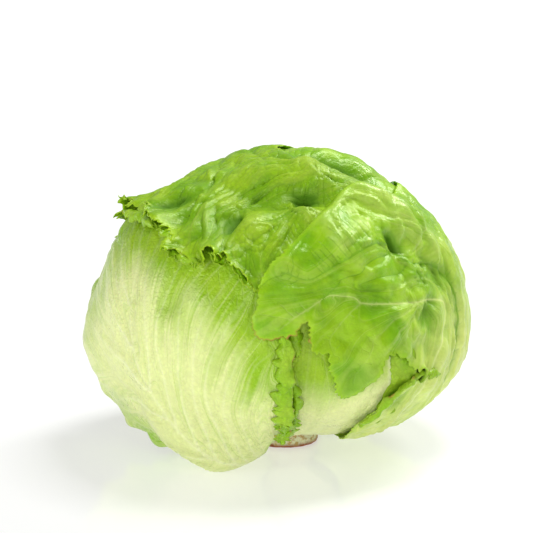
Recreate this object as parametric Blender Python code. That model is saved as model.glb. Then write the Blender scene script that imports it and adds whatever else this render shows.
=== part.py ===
"""A head of crisp lettuce that stands on its cut stem.

Seven outer leaves, each a solid of its own, wrap a dense heart. All of them grow from the stem.
The origin is the middle of the stem's cut face. +Z is up and -Y is the front, where the pale
leaf on the left and the green leaf on the right meet.

Every surface is drawn outwards from the head's centre. A place on it is a direction from there,
given as (azimuth, elevation) in degrees: azimuth 0 is the right, -90 the front, 180 the left.
"""

import math
from dataclasses import dataclass

import bpy
import numpy as np
from mathutils import Vector
from mathutils.geometry import delaunay_2d_cdt

MM = 0.001
SEED = 7

# The head
CENTRE_HEIGHT = 72 * MM
RADII_STEP = 22.5  # degrees of elevation between the radii below, from -90 to 90
HEART_RADII = {
    "right": (59, 61, 75, 83, 79, 72.5, 66, 62.5, 60),
    "back": (59, 61, 73, 78, 76, 71, 66, 62.5, 60),
    "left": (59, 61, 73, 78, 76.5, 72, 65, 60.5, 60),
    "front": (58, 58.5, 67.5, 76, 75, 71, 66, 62.5, 60),
}  # millimetres from the head's centre
HEART_COLUMNS = 48
HEART_ROWS = 24
HEART_RELIEF = 1.8 * MM  # how far the heart's own leaves stand out, one on another
HEART_LEAVES_ROUND = 3
HEART_LEAF_TWIST = 1.6  # turns of a leaf's edge for each radian that it climbs
SOCKET_TOP = 29 * MM  # the stem's hole in the heart ends this far from the head's centre

# The stem: a plug that tapers towards the head's centre
STEM_HALF_ANGLE = 13.6  # degrees, seen from the head's centre
STEM_GAP_ANGLE = 0.45  # degrees between the stem and what grows from it
STEM_TOP_HEIGHT = 43 * MM
STEM_SIDES = 28
STEM_RIM_BEVEL = 1.2 * MM
STEM_UNEVENNESS = 0.02  # of its radius

# The leaves
LEAF_THICKNESS = 1.2 * MM
LAYER_PITCH = 2.5 * MM  # from one leaf's middle to the next, measured outwards
PLANE_RADIUS = 80 * MM  # the sphere on which a leaf is drawn flat
COVER_NEAR = 4 * MM  # a leaf lies wholly on another up to this far past its edge
COVER_FAR = 20 * MM  # and is down on what lies under it from here
BASE_ELEVATION = -90 + STEM_HALF_ANGLE + STEM_GAP_ANGLE
OUTLINE_SPACING = 3.8 * MM
RING_DEPTH = 4.5 * MM
RING_SPACING = 6.5 * MM
INNER_SPACING = 11.0 * MM
TOOTH_DEPTH = 2.4 * MM
RUFFLE_DEPTH = 12 * MM  # how far in from its edge a leaf is ruffled
PLAIN_ELEVATION = -58  # below this a leaf's edge is smooth and flat
PLAIN_FADE = 15  # degrees

ROUGHNESS = 0.45
STEM_COLOUR = (0.62, 0.56, 0.33, 1)
HEART_COLOUR = (0.70, 0.78, 0.34, 1)
PALE_LEAF = (0.62, 0.75, 0.24, 1)
GREEN_LEAF = (0.24, 0.45, 0.04, 1)


@dataclass
class Swell:
    """A smooth rise or dip round a place."""

    place: tuple
    height: float  # metres
    reach: float  # degrees


@dataclass
class Leaf:
    """One leaf, drawn by the places that its edge passes, from its left foot round to its right."""

    name: str
    centre: tuple
    foot: tuple  # azimuths of the two ends of its foot, on the stem
    edge: tuple
    ruffle: float  # height of the waves in its edge
    wave: float  # their length
    colour: tuple
    swells: tuple = ()


# From the innermost to the outermost: each lies on those before it
LEAVES = (
    Leaf(
        "leaf_back_right", (48, 5), (95, 12),
        ((105, -50), (112, -20), (114, 15), (118, 50), (150, 74), (-110, 72), (-62, 56),
         (-26, 36), (-12, 10), (-5, -20), (3, -50)),
        3 * MM, 30 * MM, GREEN_LEAF,
    ),
    Leaf(
        "leaf_back_left", (168, 0), (215, 140),
        ((215, -45), (222, -15), (220, 20), (200, 46), (165, 52), (130, 40), (116, 10),
         (118, -20), (130, -50)),
        3 * MM, 30 * MM, PALE_LEAF,
    ),
    Leaf(
        "leaf_inner_front", (-72, -12), (-28, -112),
        ((-22, -55), (-34, -30), (-38, -5), (-45, 18), (-65, 32), (-92, 34), (-114, 22),
         (-120, -5), (-119, -35), (-114, -58)),
        2 * MM, 26 * MM, GREEN_LEAF,
    ),
    Leaf(
        "leaf_front", (-92, -10), (-56, -126),
        ((-66, -58), (-69, -40), (-64, -28), (-59, -20), (-57, -8), (-58, 8), (-66, 24),
         (-88, 36), (-114, 34), (-127, 15), (-131, -10), (-130, -35), (-128, -58)),
        1 * MM, 30 * MM, PALE_LEAF,
    ),
    Leaf(
        "leaf_left_wrapper", (-132, -10), (-94, -150),
        ((-94, -60), (-90, -42), (-87, -28), (-89, -12), (-90, 4), (-96, 22), (-112, 36),
         (-142, 42), (-166, 37), (-182, 28), (-190, 14), (-190, -6), (-184, -25),
         (-175, -39), (-160, -46), (-148, -54), (-148, -64)),
        3.5 * MM, 24 * MM, PALE_LEAF,
        (
            Swell((-89, -12), 2.5 * MM, 8),
            Swell((-87, -30), 2.5 * MM, 8),
            Swell((-178, 26), 2.5 * MM, 9),
            Swell((-176, -16), 5.1 * MM, 10),
            Swell((-168, -40), 8.5 * MM, 13),
            Swell((-154, -56), 6.7 * MM, 10),
            Swell((-116, -49), 13.5 * MM, 8),
            Swell((-130, -39), 8.8 * MM, 9),
            Swell((-138, -28), 2 * MM, 10),
            Swell((-145, 2), 4.5 * MM, 20),
            Swell((168, -15), 7.8 * MM, 14),
        ),
    ),
    Leaf(
        "leaf_crown", (130, 50), (148, 72),
        ((140, -50), (148, -20), (158, 4), (170, 22), (-177, 30), (-162, 32), (-149, 30),
         (-137, 25), (-127, 26), (-118, 21), (-107, 18), (-96, 15), (-80, 22), (-60, 32),
         (-38, 38), (-18, 36), (-28, 45), (-42, 55), (-54, 72), (90, 80), (74, 52),
         (68, 20), (66, -20), (68, -50)),
        3.5 * MM, 22 * MM, GREEN_LEAF,
        (Swell((-40, 50), 3.5 * MM, 14), Swell((-52, 68), 2 * MM, 12)),
    ),
    Leaf(
        "leaf_right_wrapper", (-30, 5), (44, -34),
        ((52, -50), (56, -20), (54, 12), (38, 34), (5, 42), (-18, 35), (-32, 42), (-46, 48),
         (-60, 48), (-73, 40), (-84, 32), (-92, 24), (-98, 16), (-99, 6), (-97, -1),
         (-89, -2), (-82, 4), (-82, -5), (-76, -6), (-75, -12), (-71, -19), (-64, -15),
         (-57, -9), (-49, -13), (-52, -21), (-57, -28), (-62, -33), (-58, -44), (-44, -60)),
        2.2 * MM, 24 * MM, GREEN_LEAF,
    ),
)

# Folds, dents and swellings that every layer shares, because the leaves press on each other
SHARED_SWELLS = (
    Swell((35, 56), 4 * MM, 16),
    Swell((-6, 66), -4.5 * MM, 9),
    Swell((0, 49), -5 * MM, 8),
    Swell((4, 37), -3 * MM, 6),
    Swell((-45, 20), -2.5 * MM, 9),
    Swell((-37, 2), -2 * MM, 9),
    Swell((-98, 40), -2.5 * MM, 10),
    Swell((-70, 30), 2.5 * MM, 11),
    Swell((-150, 50), 2 * MM, 12),
    Swell((-120, 48), -2.5 * MM, 11),
    Swell((110, 30), 3 * MM, 18),
    Swell((150, 10), -3 * MM, 16),
    Swell((75, -10), 2.5 * MM, 16),
)


def rays_to(azimuths, elevations):
    """Unit vectors from the head's centre to places given in degrees."""
    azimuths, elevations = np.broadcast_arrays(np.radians(azimuths), np.radians(elevations))
    level = np.cos(elevations)
    return np.stack([level * np.cos(azimuths), level * np.sin(azimuths), np.sin(elevations)], -1)


def elevation_of(rays):
    """How far above level these directions point, in degrees."""
    return np.degrees(np.arcsin(np.clip(rays[..., 2], -1, 1)))


def smooth(x):
    """From 0 at x = 0 to 1 at x = 1, level at both ends."""
    x = np.clip(x, 0, 1)
    return x * x * (3 - 2 * x)


def curve_value(before, start, end, after, t):
    """A smooth curve's value from start at t = 0 to end at t = 1, given its two neighbours."""
    return 0.5 * (
        2 * start
        + (end - before) * t
        + (2 * before - 5 * start + 4 * end - after) * t**2
        + (3 * start - before - 3 * end + after) * t**3
    )


def side_radius(side, elevations):
    """The heart's radius on one side, on a smooth curve through its table."""
    table = np.pad(np.array(HEART_RADII[side]) * MM, 1, "reflect")
    place = (elevations + 90) / RADII_STEP
    low = np.clip(np.floor(place).astype(int), 0, len(table) - 4)
    return curve_value(*(table[low + k] for k in range(4)), place - low)


def rise(rays, swells):
    """The sum of some swells along these directions."""
    total = np.zeros(rays.shape[:-1])
    for swell in swells:
        angles = np.degrees(np.arccos(np.clip(rays @ rays_to(*swell.place), -1, 1)))
        total += swell.height * np.exp(-0.5 * (angles / swell.reach) ** 2)
    return total


def heart_radius(rays):
    """The distance from the head's centre to the heart's surface."""
    elevations = elevation_of(rays)
    level = np.maximum(np.hypot(rays[..., 0], rays[..., 1]), 1e-9)
    right_share = (rays[..., 0] / level) ** 2
    right, left, back, front = (
        side_radius(side, elevations) for side in ("right", "left", "back", "front")
    )
    across = np.where(rays[..., 0] > 0, right, left)
    along = np.where(rays[..., 1] > 0, back, front)
    return right_share * across + (1 - right_share) * along + rise(rays, SHARED_SWELLS)


def smooth_line(points, steps):
    """A smooth open line through some points of the plane."""
    padded = np.concatenate([points[:1], points, points[-1:]])
    made = [
        curve_value(*padded[k : k + 4], t) for k in range(len(points) - 1)
        for t in np.arange(steps) / steps
    ]
    return np.array([*made, points[-1]])


def spaced(line, spacing):
    """A closed line's points again, evenly spaced, near the spacing asked for."""
    closed = np.concatenate([line, line[:1]])
    along = np.concatenate([[0], np.cumsum(np.linalg.norm(np.diff(closed, axis=0), axis=1))])
    places = np.linspace(0, along[-1], round(along[-1] / spacing) + 1)[:-1]
    return np.stack([np.interp(places, along, closed[:, k]) for k in range(2)], -1)


def depth_inside(points, line):
    """How far points of the plane lie inside a closed line, below zero outside it."""
    nearest = np.full(len(points), np.inf)
    inside = np.zeros(len(points), bool)
    for (ax, ay), (bx, by) in zip(line, np.roll(line, -1, 0)):
        dx, dy = bx - ax, by - ay
        px, py = points[:, 0] - ax, points[:, 1] - ay
        t = np.clip((px * dx + py * dy) / (dx * dx + dy * dy), 0, 1)
        nearest = np.minimum(nearest, np.hypot(px - t * dx, py - t * dy))
        if dy:
            crosses = (ay > points[:, 1]) != (by > points[:, 1])
            inside ^= crosses & (px < py * dx / dy)
    return np.where(inside, nearest, -nearest)


def outward(line):
    """Unit vectors that point out of a closed line that runs anticlockwise."""
    along = np.roll(line, -1, 0) - np.roll(line, 1, 0)
    across = np.stack([along[:, 1], -along[:, 0]], -1)
    return across / np.linalg.norm(across, axis=1)[:, None]


class Blade:
    """A leaf laid flat, on a plane that touches a sphere at the leaf's centre."""

    FOOT_POINTS = 6
    CURVE_STEPS = 6

    def __init__(self, leaf):
        """Works out the leaf's plane and its smooth edge."""
        self.leaf = leaf
        self.up = rays_to(*leaf.centre)
        east = np.cross([0, 0, 1], self.up)
        self.east = east / np.linalg.norm(east)
        self.north = np.cross(self.up, self.east)
        foot_azimuths = np.linspace(leaf.foot[1], leaf.foot[0], self.FOOT_POINTS)
        foot = self.flatten(rays_to(foot_azimuths, BASE_ELEVATION))
        side = self.flatten(rays_to(*np.array(leaf.edge, float).T))
        side = smooth_line(np.concatenate([foot[-1:], side, foot[:1]]), self.CURVE_STEPS)
        line = np.concatenate([side[:-1], foot[:-1]])
        after = np.roll(line, -1, 0)
        turn = np.sum(line[:, 0] * after[:, 1] - line[:, 1] * after[:, 0])
        self.line = line if turn > 0 else line[::-1]

    def flatten(self, rays):
        """Directions as points of the leaf's plane."""
        x, y, z = rays @ self.east, rays @ self.north, rays @ self.up
        length = np.maximum(np.hypot(x, y), 1e-9)
        scale = np.arctan2(length, z) / length * PLANE_RADIUS
        return np.stack([x * scale, y * scale], -1)

    def bend(self, points):
        """Points of the leaf's plane as directions."""
        length = np.maximum(np.linalg.norm(points, axis=-1), 1e-9)
        angle = length / PLANE_RADIUS
        across = (np.sin(angle) / length)[:, None] * points
        level = across[:, :1] * self.east + across[:, 1:] * self.north
        return level + np.cos(angle)[:, None] * self.up

    def cover(self, rays):
        """1 where something lies on this leaf, falling to 0 a little past its edge."""
        outside = -depth_inside(self.flatten(rays), self.line)
        return 1 - smooth((outside - COVER_NEAR) / (COVER_FAR - COVER_NEAR))

    def toothed_line(self):
        """The line to cut the leaf along: teeth in its free edge, none near its foot."""
        line = spaced(self.line, OUTLINE_SPACING)
        depths = np.random.default_rng(SEED).uniform(0.3, 1.0, len(line)) * TOOTH_DEPTH
        depths[::2] = 0
        depths *= smooth((elevation_of(self.bend(line)) - PLAIN_ELEVATION) / PLAIN_FADE)
        return line + outward(line) * depths[:, None]

    def flat_mesh(self):
        """The leaf's flat points and triangles: a ring inside its edge, and an even field."""
        line = self.toothed_line()
        ring = spaced(line - outward(line) * RING_DEPTH, RING_SPACING)
        ring = ring[depth_inside(ring, line) > 0.8 * RING_DEPTH]
        low, high = line.min(0), line.max(0)
        room = RING_DEPTH + 0.55 * INNER_SPACING
        field = []
        for row, y in enumerate(np.arange(low[1], high[1], INNER_SPACING * math.sqrt(3) / 2)):
            x = np.arange(low[0] + row % 2 * INNER_SPACING / 2, high[0], INNER_SPACING)
            points = np.stack([x, np.full(len(x), y)], -1)
            field.append(points[depth_inside(points, line) > room])
        points = np.concatenate([line, ring, *field])
        edges = [(k, (k + 1) % len(line)) for k in range(len(line))]
        made = delaunay_2d_cdt([Vector(p) for p in points], edges, [], 1, 1e-7)
        return np.array([tuple(p) for p in made[0]]), made[2]


def leaf_radius(blades, index, rays):
    """The distance from the head's centre to the middle of one leaf."""
    radius = heart_radius(rays) + HEART_RELIEF + LAYER_PITCH
    radius += rise(rays, blades[index].leaf.swells)
    for under in blades[:index]:
        radius += under.cover(rays) * (LAYER_PITCH + rise(rays, under.leaf.swells))
    return radius


def ruffle(blades, index, flat, rays):
    """The outward waves along a leaf's edge, where no other leaf lies on it."""
    leaf = blades[index].leaf
    depth = depth_inside(flat, blades[index].line)
    turn = 2 * math.pi / leaf.wave
    bearing = np.arctan2(flat[:, 1], flat[:, 0])
    distance = np.linalg.norm(flat, axis=1)
    waves = 0.5 + 0.5 * np.sin(turn * bearing * PLANE_RADIUS + 0.4 * np.sin(turn * distance))
    free = smooth((elevation_of(rays) - PLAIN_ELEVATION) / PLAIN_FADE)
    for above in blades[index + 1 :]:
        free *= 1 - above.cover(rays)
    return leaf.ruffle * waves * free * (1 - smooth(depth / RUFFLE_DEPTH))


def add_object(name, points, faces, colour, parent, height):
    """A named object with its own material, shaded smooth, at a height on the head's axis."""
    mesh = bpy.data.meshes.new(name)
    mesh.from_pydata(points.tolist(), [], faces)
    mesh.shade_smooth()
    mesh.set_sharp_from_angle(angle=math.radians(50))
    material = bpy.data.materials.new(name)
    material.use_nodes = True
    shader = material.node_tree.nodes["Principled BSDF"]
    shader.inputs["Base Color"].default_value = colour
    shader.inputs["Roughness"].default_value = ROUGHNESS
    shader.inputs["Metallic"].default_value = 0.0
    mesh.materials.append(material)
    made = bpy.data.objects.new(name, mesh)
    made.location.z = height
    made.parent = parent
    bpy.context.scene.collection.objects.link(made)
    return made


def add_leaf(blades, index, parent):
    """One leaf: cut out flat, bent over what lies under it, and thickened."""
    blade = blades[index]
    flat, faces = blade.flat_mesh()
    rays = blade.bend(flat)
    middle = rays * (leaf_radius(blades, index, rays) + ruffle(blades, index, flat, rays))[:, None]
    lowest = LEAF_THICKNESS / 2 - CENTRE_HEIGHT
    middle[:, 2] = np.maximum(middle[:, 2], lowest)
    made = add_object(blade.leaf.name, middle, faces, blade.leaf.colour, parent, CENTRE_HEIGHT)
    thickness = made.modifiers.new("thickness", "SOLIDIFY")
    thickness.thickness = LEAF_THICKNESS
    thickness.offset = 0
    return made


def ringed_solid(rings, bottom, top):
    """Points and triangles of a closed solid, from rings of one count and its two end points."""
    count = len(rings[0])
    points = np.concatenate([*rings, [bottom], [top]])
    low, high = len(points) - 2, len(points) - 1
    last = (len(rings) - 1) * count
    faces = []
    for i in range(count):
        j = (i + 1) % count
        faces += [(low, j, i), (high, last + i, last + j)]
        for start in range(0, last, count):
            a, b, c, d = start + i, start + j, start + count + j, start + count + i
            faces += [(a, b, c), (a, c, d)]
    return points, faces


def add_stem(parent):
    """The stem: a flat cut face, a slightly uneven rim, and a taper up into the heart."""
    azimuths = np.linspace(0, 360, STEM_SIDES, endpoint=False)
    uneven = STEM_UNEVENNESS * (1 + np.sin(np.radians(3 * azimuths + 40)))
    slope = math.tan(math.radians(STEM_HALF_ANGLE))

    def ring(height, inset=0.0, unevenness=0.0):
        """One ring of the stem's side."""
        radius = ((CENTRE_HEIGHT - height) * slope - inset) * (1 - uneven * unevenness)
        return rays_to(azimuths, 0) * radius[:, None] + [0, 0, height]

    rings = [
        ring(0, STEM_RIM_BEVEL, 1),
        ring(STEM_RIM_BEVEL, 0, 1),
        ring(5 * MM, 0, 0.6),
        ring(12 * MM),
        ring(STEM_TOP_HEIGHT - 3 * MM),
        ring(STEM_TOP_HEIGHT, 2.5 * MM),
    ]
    points, faces = ringed_solid(rings, (0, 0, 0), (0, 0, STEM_TOP_HEIGHT + MM))
    return add_object("stem", points, faces, STEM_COLOUR, parent, 0)


def add_heart(parent):
    """The dense inside of the head: its own leaves in relief, and a hole for the stem."""
    azimuths = np.linspace(0, 360, HEART_COLUMNS, endpoint=False)
    foot = rays_to(azimuths, BASE_ELEVATION)
    foot_radius = heart_radius(foot)[:, None]
    rings = [foot * (SOCKET_TOP + (foot_radius - SOCKET_TOP) * share) for share in (0, 0.5, 1)]
    for elevation in np.linspace(BASE_ELEVATION, 90, HEART_ROWS + 1)[1:-1]:
        rays = rays_to(azimuths, elevation)
        climb = HEART_LEAF_TWIST * math.radians(elevation)
        turn = (HEART_LEAVES_ROUND * np.radians(azimuths) + climb) / (2 * math.pi) % 1
        relief = HEART_RELIEF * smooth(1.6 * turn) * (1 - smooth((turn - 0.86) / 0.14))
        relief *= math.cos(math.radians(elevation)) ** 2
        rings.append(rays * (heart_radius(rays) + relief)[:, None])
    top = rays_to(0, 90) * heart_radius(rays_to(0, 90))
    roof = (0, 0, -SOCKET_TOP * 0.93)
    points, faces = ringed_solid(rings, roof, top)
    return add_object("heart", points, faces, HEART_COLOUR, parent, CENTRE_HEIGHT)


def main():
    """Clears the scene and builds the head, from the stem outwards."""
    for old in list(bpy.data.objects):
        bpy.data.objects.remove(old)
    head = bpy.data.objects.new("head_of_lettuce", None)
    bpy.context.scene.collection.objects.link(head)
    add_stem(head)
    add_heart(head)
    blades = [Blade(leaf) for leaf in LEAVES]
    for index in range(len(blades)):
        add_leaf(blades, index, head)


main()
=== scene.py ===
"""The looks of a head of crisp lettuce that stands on its cut stem.

Every leaf is cut out of a flat sheet with its toothed edge, veined, bent over the leaves under it
and given its thickness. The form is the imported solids' own, so it is set out here in the same way:
a place on the head is a direction from the head's centre, given as (azimuth, elevation) in
degrees, where azimuth 0 is the right, -90 the front and 180 the left. Lengths are metres.
"""

import logging
import math
from dataclasses import dataclass
from enum import Enum

import bpy
import numpy as np
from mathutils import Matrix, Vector, noise
from mathutils.geometry import delaunay_2d_cdt
from mathutils.kdtree import KDTree


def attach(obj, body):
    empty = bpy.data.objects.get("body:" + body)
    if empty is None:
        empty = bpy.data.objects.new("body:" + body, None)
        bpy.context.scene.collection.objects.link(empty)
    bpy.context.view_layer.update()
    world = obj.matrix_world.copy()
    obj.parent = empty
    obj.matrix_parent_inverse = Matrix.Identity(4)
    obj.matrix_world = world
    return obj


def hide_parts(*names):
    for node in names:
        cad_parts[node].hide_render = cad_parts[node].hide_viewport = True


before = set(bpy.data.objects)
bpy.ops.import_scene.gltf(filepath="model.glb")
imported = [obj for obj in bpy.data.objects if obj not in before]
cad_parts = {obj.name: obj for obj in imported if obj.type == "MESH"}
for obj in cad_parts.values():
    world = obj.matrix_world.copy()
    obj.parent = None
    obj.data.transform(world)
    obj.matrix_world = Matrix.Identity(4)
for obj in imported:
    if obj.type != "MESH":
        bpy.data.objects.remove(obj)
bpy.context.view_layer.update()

Array = np.ndarray
Place = tuple[float, float]
Colour = tuple[float, float, float]
Triple = tuple[float, float, float]

log = logging.getLogger("lettuce")

MM = 0.001
BODY = "root"

# The head's form, as the solids have it
CENTRE_HEIGHT = 72 * MM
RADII_STEP = 22.5  # degrees of elevation between the radii below, from -90 to 90
HEART_RADII = {
    "right": (59, 61, 75, 83, 79, 72.5, 66, 62.5, 60),
    "back": (59, 61, 73, 78, 76, 71, 66, 62.5, 60),
    "left": (59, 61, 73, 78, 76.5, 72, 65, 60.5, 60),
    "front": (58, 58.5, 67.5, 76, 75, 71, 66, 62.5, 60),
}  # millimetres from the head's centre
HEART_RELIEF = 1.8 * MM
HEART_LEAVES_ROUND = 3
HEART_LEAF_TWIST = 1.6
SOCKET_TOP = 29 * MM
STEM_HALF_ANGLE = 13.6  # degrees, seen from the head's centre
STEM_GAP_ANGLE = 0.45
STEM_TOP_HEIGHT = 43 * MM
BASE_ELEVATION = -90 + STEM_HALF_ANGLE + STEM_GAP_ANGLE
LEAF_THICKNESS = 1.2 * MM  # of the solids
LAYER_PITCH = 2.5 * MM
PLANE_RADIUS = 80 * MM
COVER_NEAR = 4 * MM
COVER_FAR = 20 * MM
RUFFLE_DEPTH = 12 * MM
PLAIN_ELEVATION = -58
PLAIN_FADE = 15

# How fine the leaves are made here
MAP_STEP = 1.5 * MM  # of the maps of how deep a place lies inside a leaf
CUT_SPACING = 0.55 * MM
FINE_SPACING = 1.0 * MM
COARSE_SPACING = 3.2 * MM
HIDDEN_DEPTH = 3.5 * MM  # this far under another leaf a leaf is left coarse
VEIN_ROOM = 0.5 * MM
BLEND_DEPTH = 2.0 * MM  # over which one leaf's relief gives way to the next one's at an edge
MIDDLE_THICKNESS = 1.0 * MM
EDGE_THICKNESS = 0.35 * MM
TAPER_DEPTH = 6 * MM
TINY = 1e-9  # keeps divisions from 0
TINY_AREA = 1e-12


def rays_to(azimuths: Array | float, elevations: Array | float) -> Array:
    """Unit vectors from the head's centre to places.

    Args:
        azimuths: degrees round the head.
        elevations: degrees above level.

    Returns:
        An array whose last axis is x, y, z.
    """
    azimuths, elevations = np.broadcast_arrays(np.radians(azimuths), np.radians(elevations))
    level = np.cos(elevations)
    return np.stack([level * np.cos(azimuths), level * np.sin(azimuths), np.sin(elevations)], -1)


def angles_from(rays: Array, place: Place) -> Array:
    """The angles between directions and a place's own, in degrees."""
    return np.degrees(np.arccos(np.clip(rays @ rays_to(*place), -1, 1)))


def elevation_of(rays: Array) -> Array:
    """How far above level these directions point, in degrees."""
    return np.degrees(np.arcsin(np.clip(rays[..., 2], -1, 1)))


def smooth(x: Array | float) -> Array:
    """From 0 at x = 0 to 1 at x = 1, level at both ends."""
    x = np.clip(x, 0, 1)
    return x * x * (3 - 2 * x)


def hump(x: Array) -> Array:
    """1 at x = 0, falling to nothing on both sides over a few times 1."""
    return np.exp(-(x**2))


def curve_value(before: Array, start: Array, end: Array, after: Array, t: Array | float) -> Array:
    """A smooth curve's value between two of its points.

    Args:
        before: the point before start.
        start: the value at t = 0.
        end: the value at t = 1.
        after: the point after end.
        t: how far from start to end.

    Returns:
        The value at t.
    """
    return 0.5 * (
        2 * start
        + (end - before) * t
        + (2 * before - 5 * start + 4 * end - after) * t**2
        + (3 * start - before - 3 * end + after) * t**3
    )


def smooth_line(points: Array, steps: int) -> Array:
    """A smooth open line through some points, with so many steps from each to the next."""
    padded = np.concatenate([points[:1], points, points[-1:]])
    made = [
        curve_value(*padded[k : k + 4], t)
        for k in range(len(points) - 1)
        for t in np.arange(steps) / steps
    ]
    return np.array([*made, points[-1]])


def respaced(line: Array, spacing: float, closed: bool) -> Array:
    """A line's points again, evenly spaced.

    Args:
        line: points of the plane.
        spacing: the distance wanted between points.
        closed: whether the line runs back to its first point, which isn't repeated.

    Returns:
        The new points, near that spacing.
    """
    if closed:
        line = np.concatenate([line, line[:1]])
    along = np.concatenate([[0], np.cumsum(np.linalg.norm(np.diff(line, axis=0), axis=1))])
    places = np.linspace(0, along[-1], max(round(along[-1] / spacing), 1) + 1)
    places = places[:-1] if closed else places
    return np.stack([np.interp(places, along, line[:, k]) for k in range(line.shape[1])], -1)


def depth_inside(points: Array, line: Array) -> Array:
    """How far points of the plane lie inside a closed line, below zero outside it."""
    nearest = np.full(len(points), np.inf)
    inside = np.zeros(len(points), bool)
    for (ax, ay), (bx, by) in zip(line, np.roll(line, -1, 0)):
        dx, dy = bx - ax, by - ay
        px, py = points[:, 0] - ax, points[:, 1] - ay
        t = np.clip((px * dx + py * dy) / (dx * dx + dy * dy), 0, 1)
        nearest = np.minimum(nearest, np.hypot(px - t * dx, py - t * dy))
        if dy:
            crosses = (ay > points[:, 1]) != (by > points[:, 1])
            inside ^= crosses & (px < py * dx / dy)
    return np.where(inside, nearest, -nearest)


def unit_length(vectors: Array) -> Array:
    """The vectors, each made 1 long."""
    return vectors / np.linalg.norm(vectors, axis=1)[:, None]


def outward(line: Array) -> Array:
    """Unit vectors that point out of a closed line that runs anticlockwise."""
    along = np.roll(line, -1, 0) - np.roll(line, 1, 0)
    return unit_length(np.stack([along[:, 1], -along[:, 0]], -1))


def noise_at(x: Array, y: Array, seed: float) -> Array:
    """Smooth noise from about -1 to 1 at points of a plane, one plane for each seed."""
    return np.array([noise.noise((a, b, seed)) for a, b in zip(x.tolist(), y.tolist())])


def noise_over(flat: Array, width: float, seed: float) -> Array:
    """Smooth noise at points of the plane, whose humps are about so wide."""
    return noise_at(*(flat.T / width), seed)


def hexagonal(low: Array, high: Array, spacing: float) -> Array:
    """An even triangular field of points over a box of the plane.

    Args:
        low: the box's lowest corner.
        high: its highest corner.
        spacing: the distance from a point to its six neighbours.

    Returns:
        The points, row by row.
    """
    rows = []
    for row, y in enumerate(np.arange(low[1], high[1], spacing * math.sqrt(3) / 2)):
        x = np.arange(low[0] + row % 2 * spacing / 2, high[0], spacing)
        rows.append(np.stack([x, np.full(len(x), y)], -1))
    return np.concatenate(rows)


class PointTree:
    """Points of a plane, kept so that the nearest one is found quickly."""

    def __init__(self, points: Array) -> None:
        """Sorts the points."""
        self.tree = KDTree(len(points))
        for index, (x, y) in enumerate(points.tolist()):
            self.tree.insert((x, y, 0), index)
        self.tree.balance()

    def nearest(self, points: Array) -> tuple[Array, Array]:
        """The nearest kept point to each of these.

        Args:
            points: points of the plane.

        Returns:
            The kept points' indices, and the distances to them.
        """
        found = [self.tree.find((x, y, 0))[1:] for x, y in points.tolist()]
        indices, distances = zip(*found)
        return np.array(indices), np.array(distances)


@dataclass(frozen=True)
class Swell:
    """A smooth rise or dip round a place."""

    place: Place
    height: float
    reach: float  # in degrees


@dataclass(frozen=True)
class Vein:
    """A main vein, by the places that it passes, and its size at both ends, from 0 to 1."""

    places: tuple[Place, ...]
    start: float = 0.7
    end: float = 0.3
    tone: float = 0.3  # 1 where it is much lighter than the leaf, below 0 where it is darker


@dataclass(frozen=True)
class Fold:
    """A long ridge, or a crease where its height is below zero, through some places."""

    places: tuple[Place, ...]
    height: float
    width: float


@dataclass(frozen=True)
class Curl:
    """A stretch of a leaf's free edge that rolls outwards."""

    place: Place
    reach: float  # degrees
    depth: float  # how wide the rolled strip is
    turn: float  # degrees that its edge turns through


@dataclass(frozen=True)
class Skin:
    """How a leaf's surface is shaped between and along its veins, and how its edge is cut."""

    wrinkle: float = 0.7 * MM
    wrinkle_width: float = 8 * MM
    wrinkle_length: float = 30 * MM
    blister: float = 0.4 * MM
    pucker: float = 0.22 * MM  # how far it sinks along small veins
    valley: float = 0.5 * MM  # along main veins
    rib: float = 0.15 * MM  # how far main veins themselves stand out
    pull: float = 0.6  # how strongly small veins keep to the leaf's fan
    vein_spacing: float = 4.2 * MM
    tooth: float = 1.6 * MM
    lobe: float = 1.8 * MM
    frill: float = 0.9 * MM


class Hue(Enum):
    """Which of the leaf finishes a leaf takes."""

    CROWN = "crown"
    WRAPPER = "wrapper"
    PALE = "pale"
    FRONT = "front"
    INNER = "inner"
    FRILL = "frill"


@dataclass(frozen=True)
class LeafPlan:
    """One leaf: its outline, its form and its looks."""

    name: str
    centre: Place
    foot: tuple[float, float]  # the azimuths of its right end and its left, seen from outside
    edge: tuple[Place, ...]  # the places that it passes, from its right foot to its left
    ruffle: float  # how far the long waves of its edge stand out
    wave: float  # their length
    hue: Hue
    fan: Place  # the place that its wrinkles run out from
    pale: tuple[float, float]  # distances from its foot where it is wholly pale, and wholly green
    skin: Skin
    flow: tuple[int, ...] = ()  # its main veins in order across, where its streaks follow them
    swells: tuple[Swell, ...] = ()
    veins: tuple[Vein, ...] = ()
    dents: tuple[Swell, ...] = ()
    folds: tuple[Fold, ...] = ()
    pallors: tuple[Swell, ...] = ()
    curls: tuple[Curl, ...] = ()
    calm: tuple[Swell, ...] = ()  # where its edge keeps still, from 0 to 1
    browned: tuple[Swell, ...] = ()  # where its edge has browned, from 0 to 1


@dataclass(frozen=True)
class Ribbon:
    """A narrow folded strip of leaf that lies on a leaf."""

    name: str
    on: str
    middle: tuple[Place, ...]
    half_width: float
    teeth: tuple[float, float]  # how deep, on its left and its right
    lift: tuple[float, float, float]  # at its left edge, its middle and its right edge
    wave: float = 0.6 * MM


def swells(*rows: tuple[float, ...], unit: float = MM) -> tuple[Swell, ...]:
    """Swells by their rows.

    Args:
        rows: each an azimuth, an elevation, a height and a reach.
        unit: what the heights are counted in.

    Returns:
        The swells.
    """
    return tuple(Swell(tuple(place), height * unit, reach) for *place, height, reach in rows)


def shares(*rows: tuple[float, ...]) -> tuple[Swell, ...]:
    """Swells by their rows, where a height is a share of 1."""
    return swells(*rows, unit=1)


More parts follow.
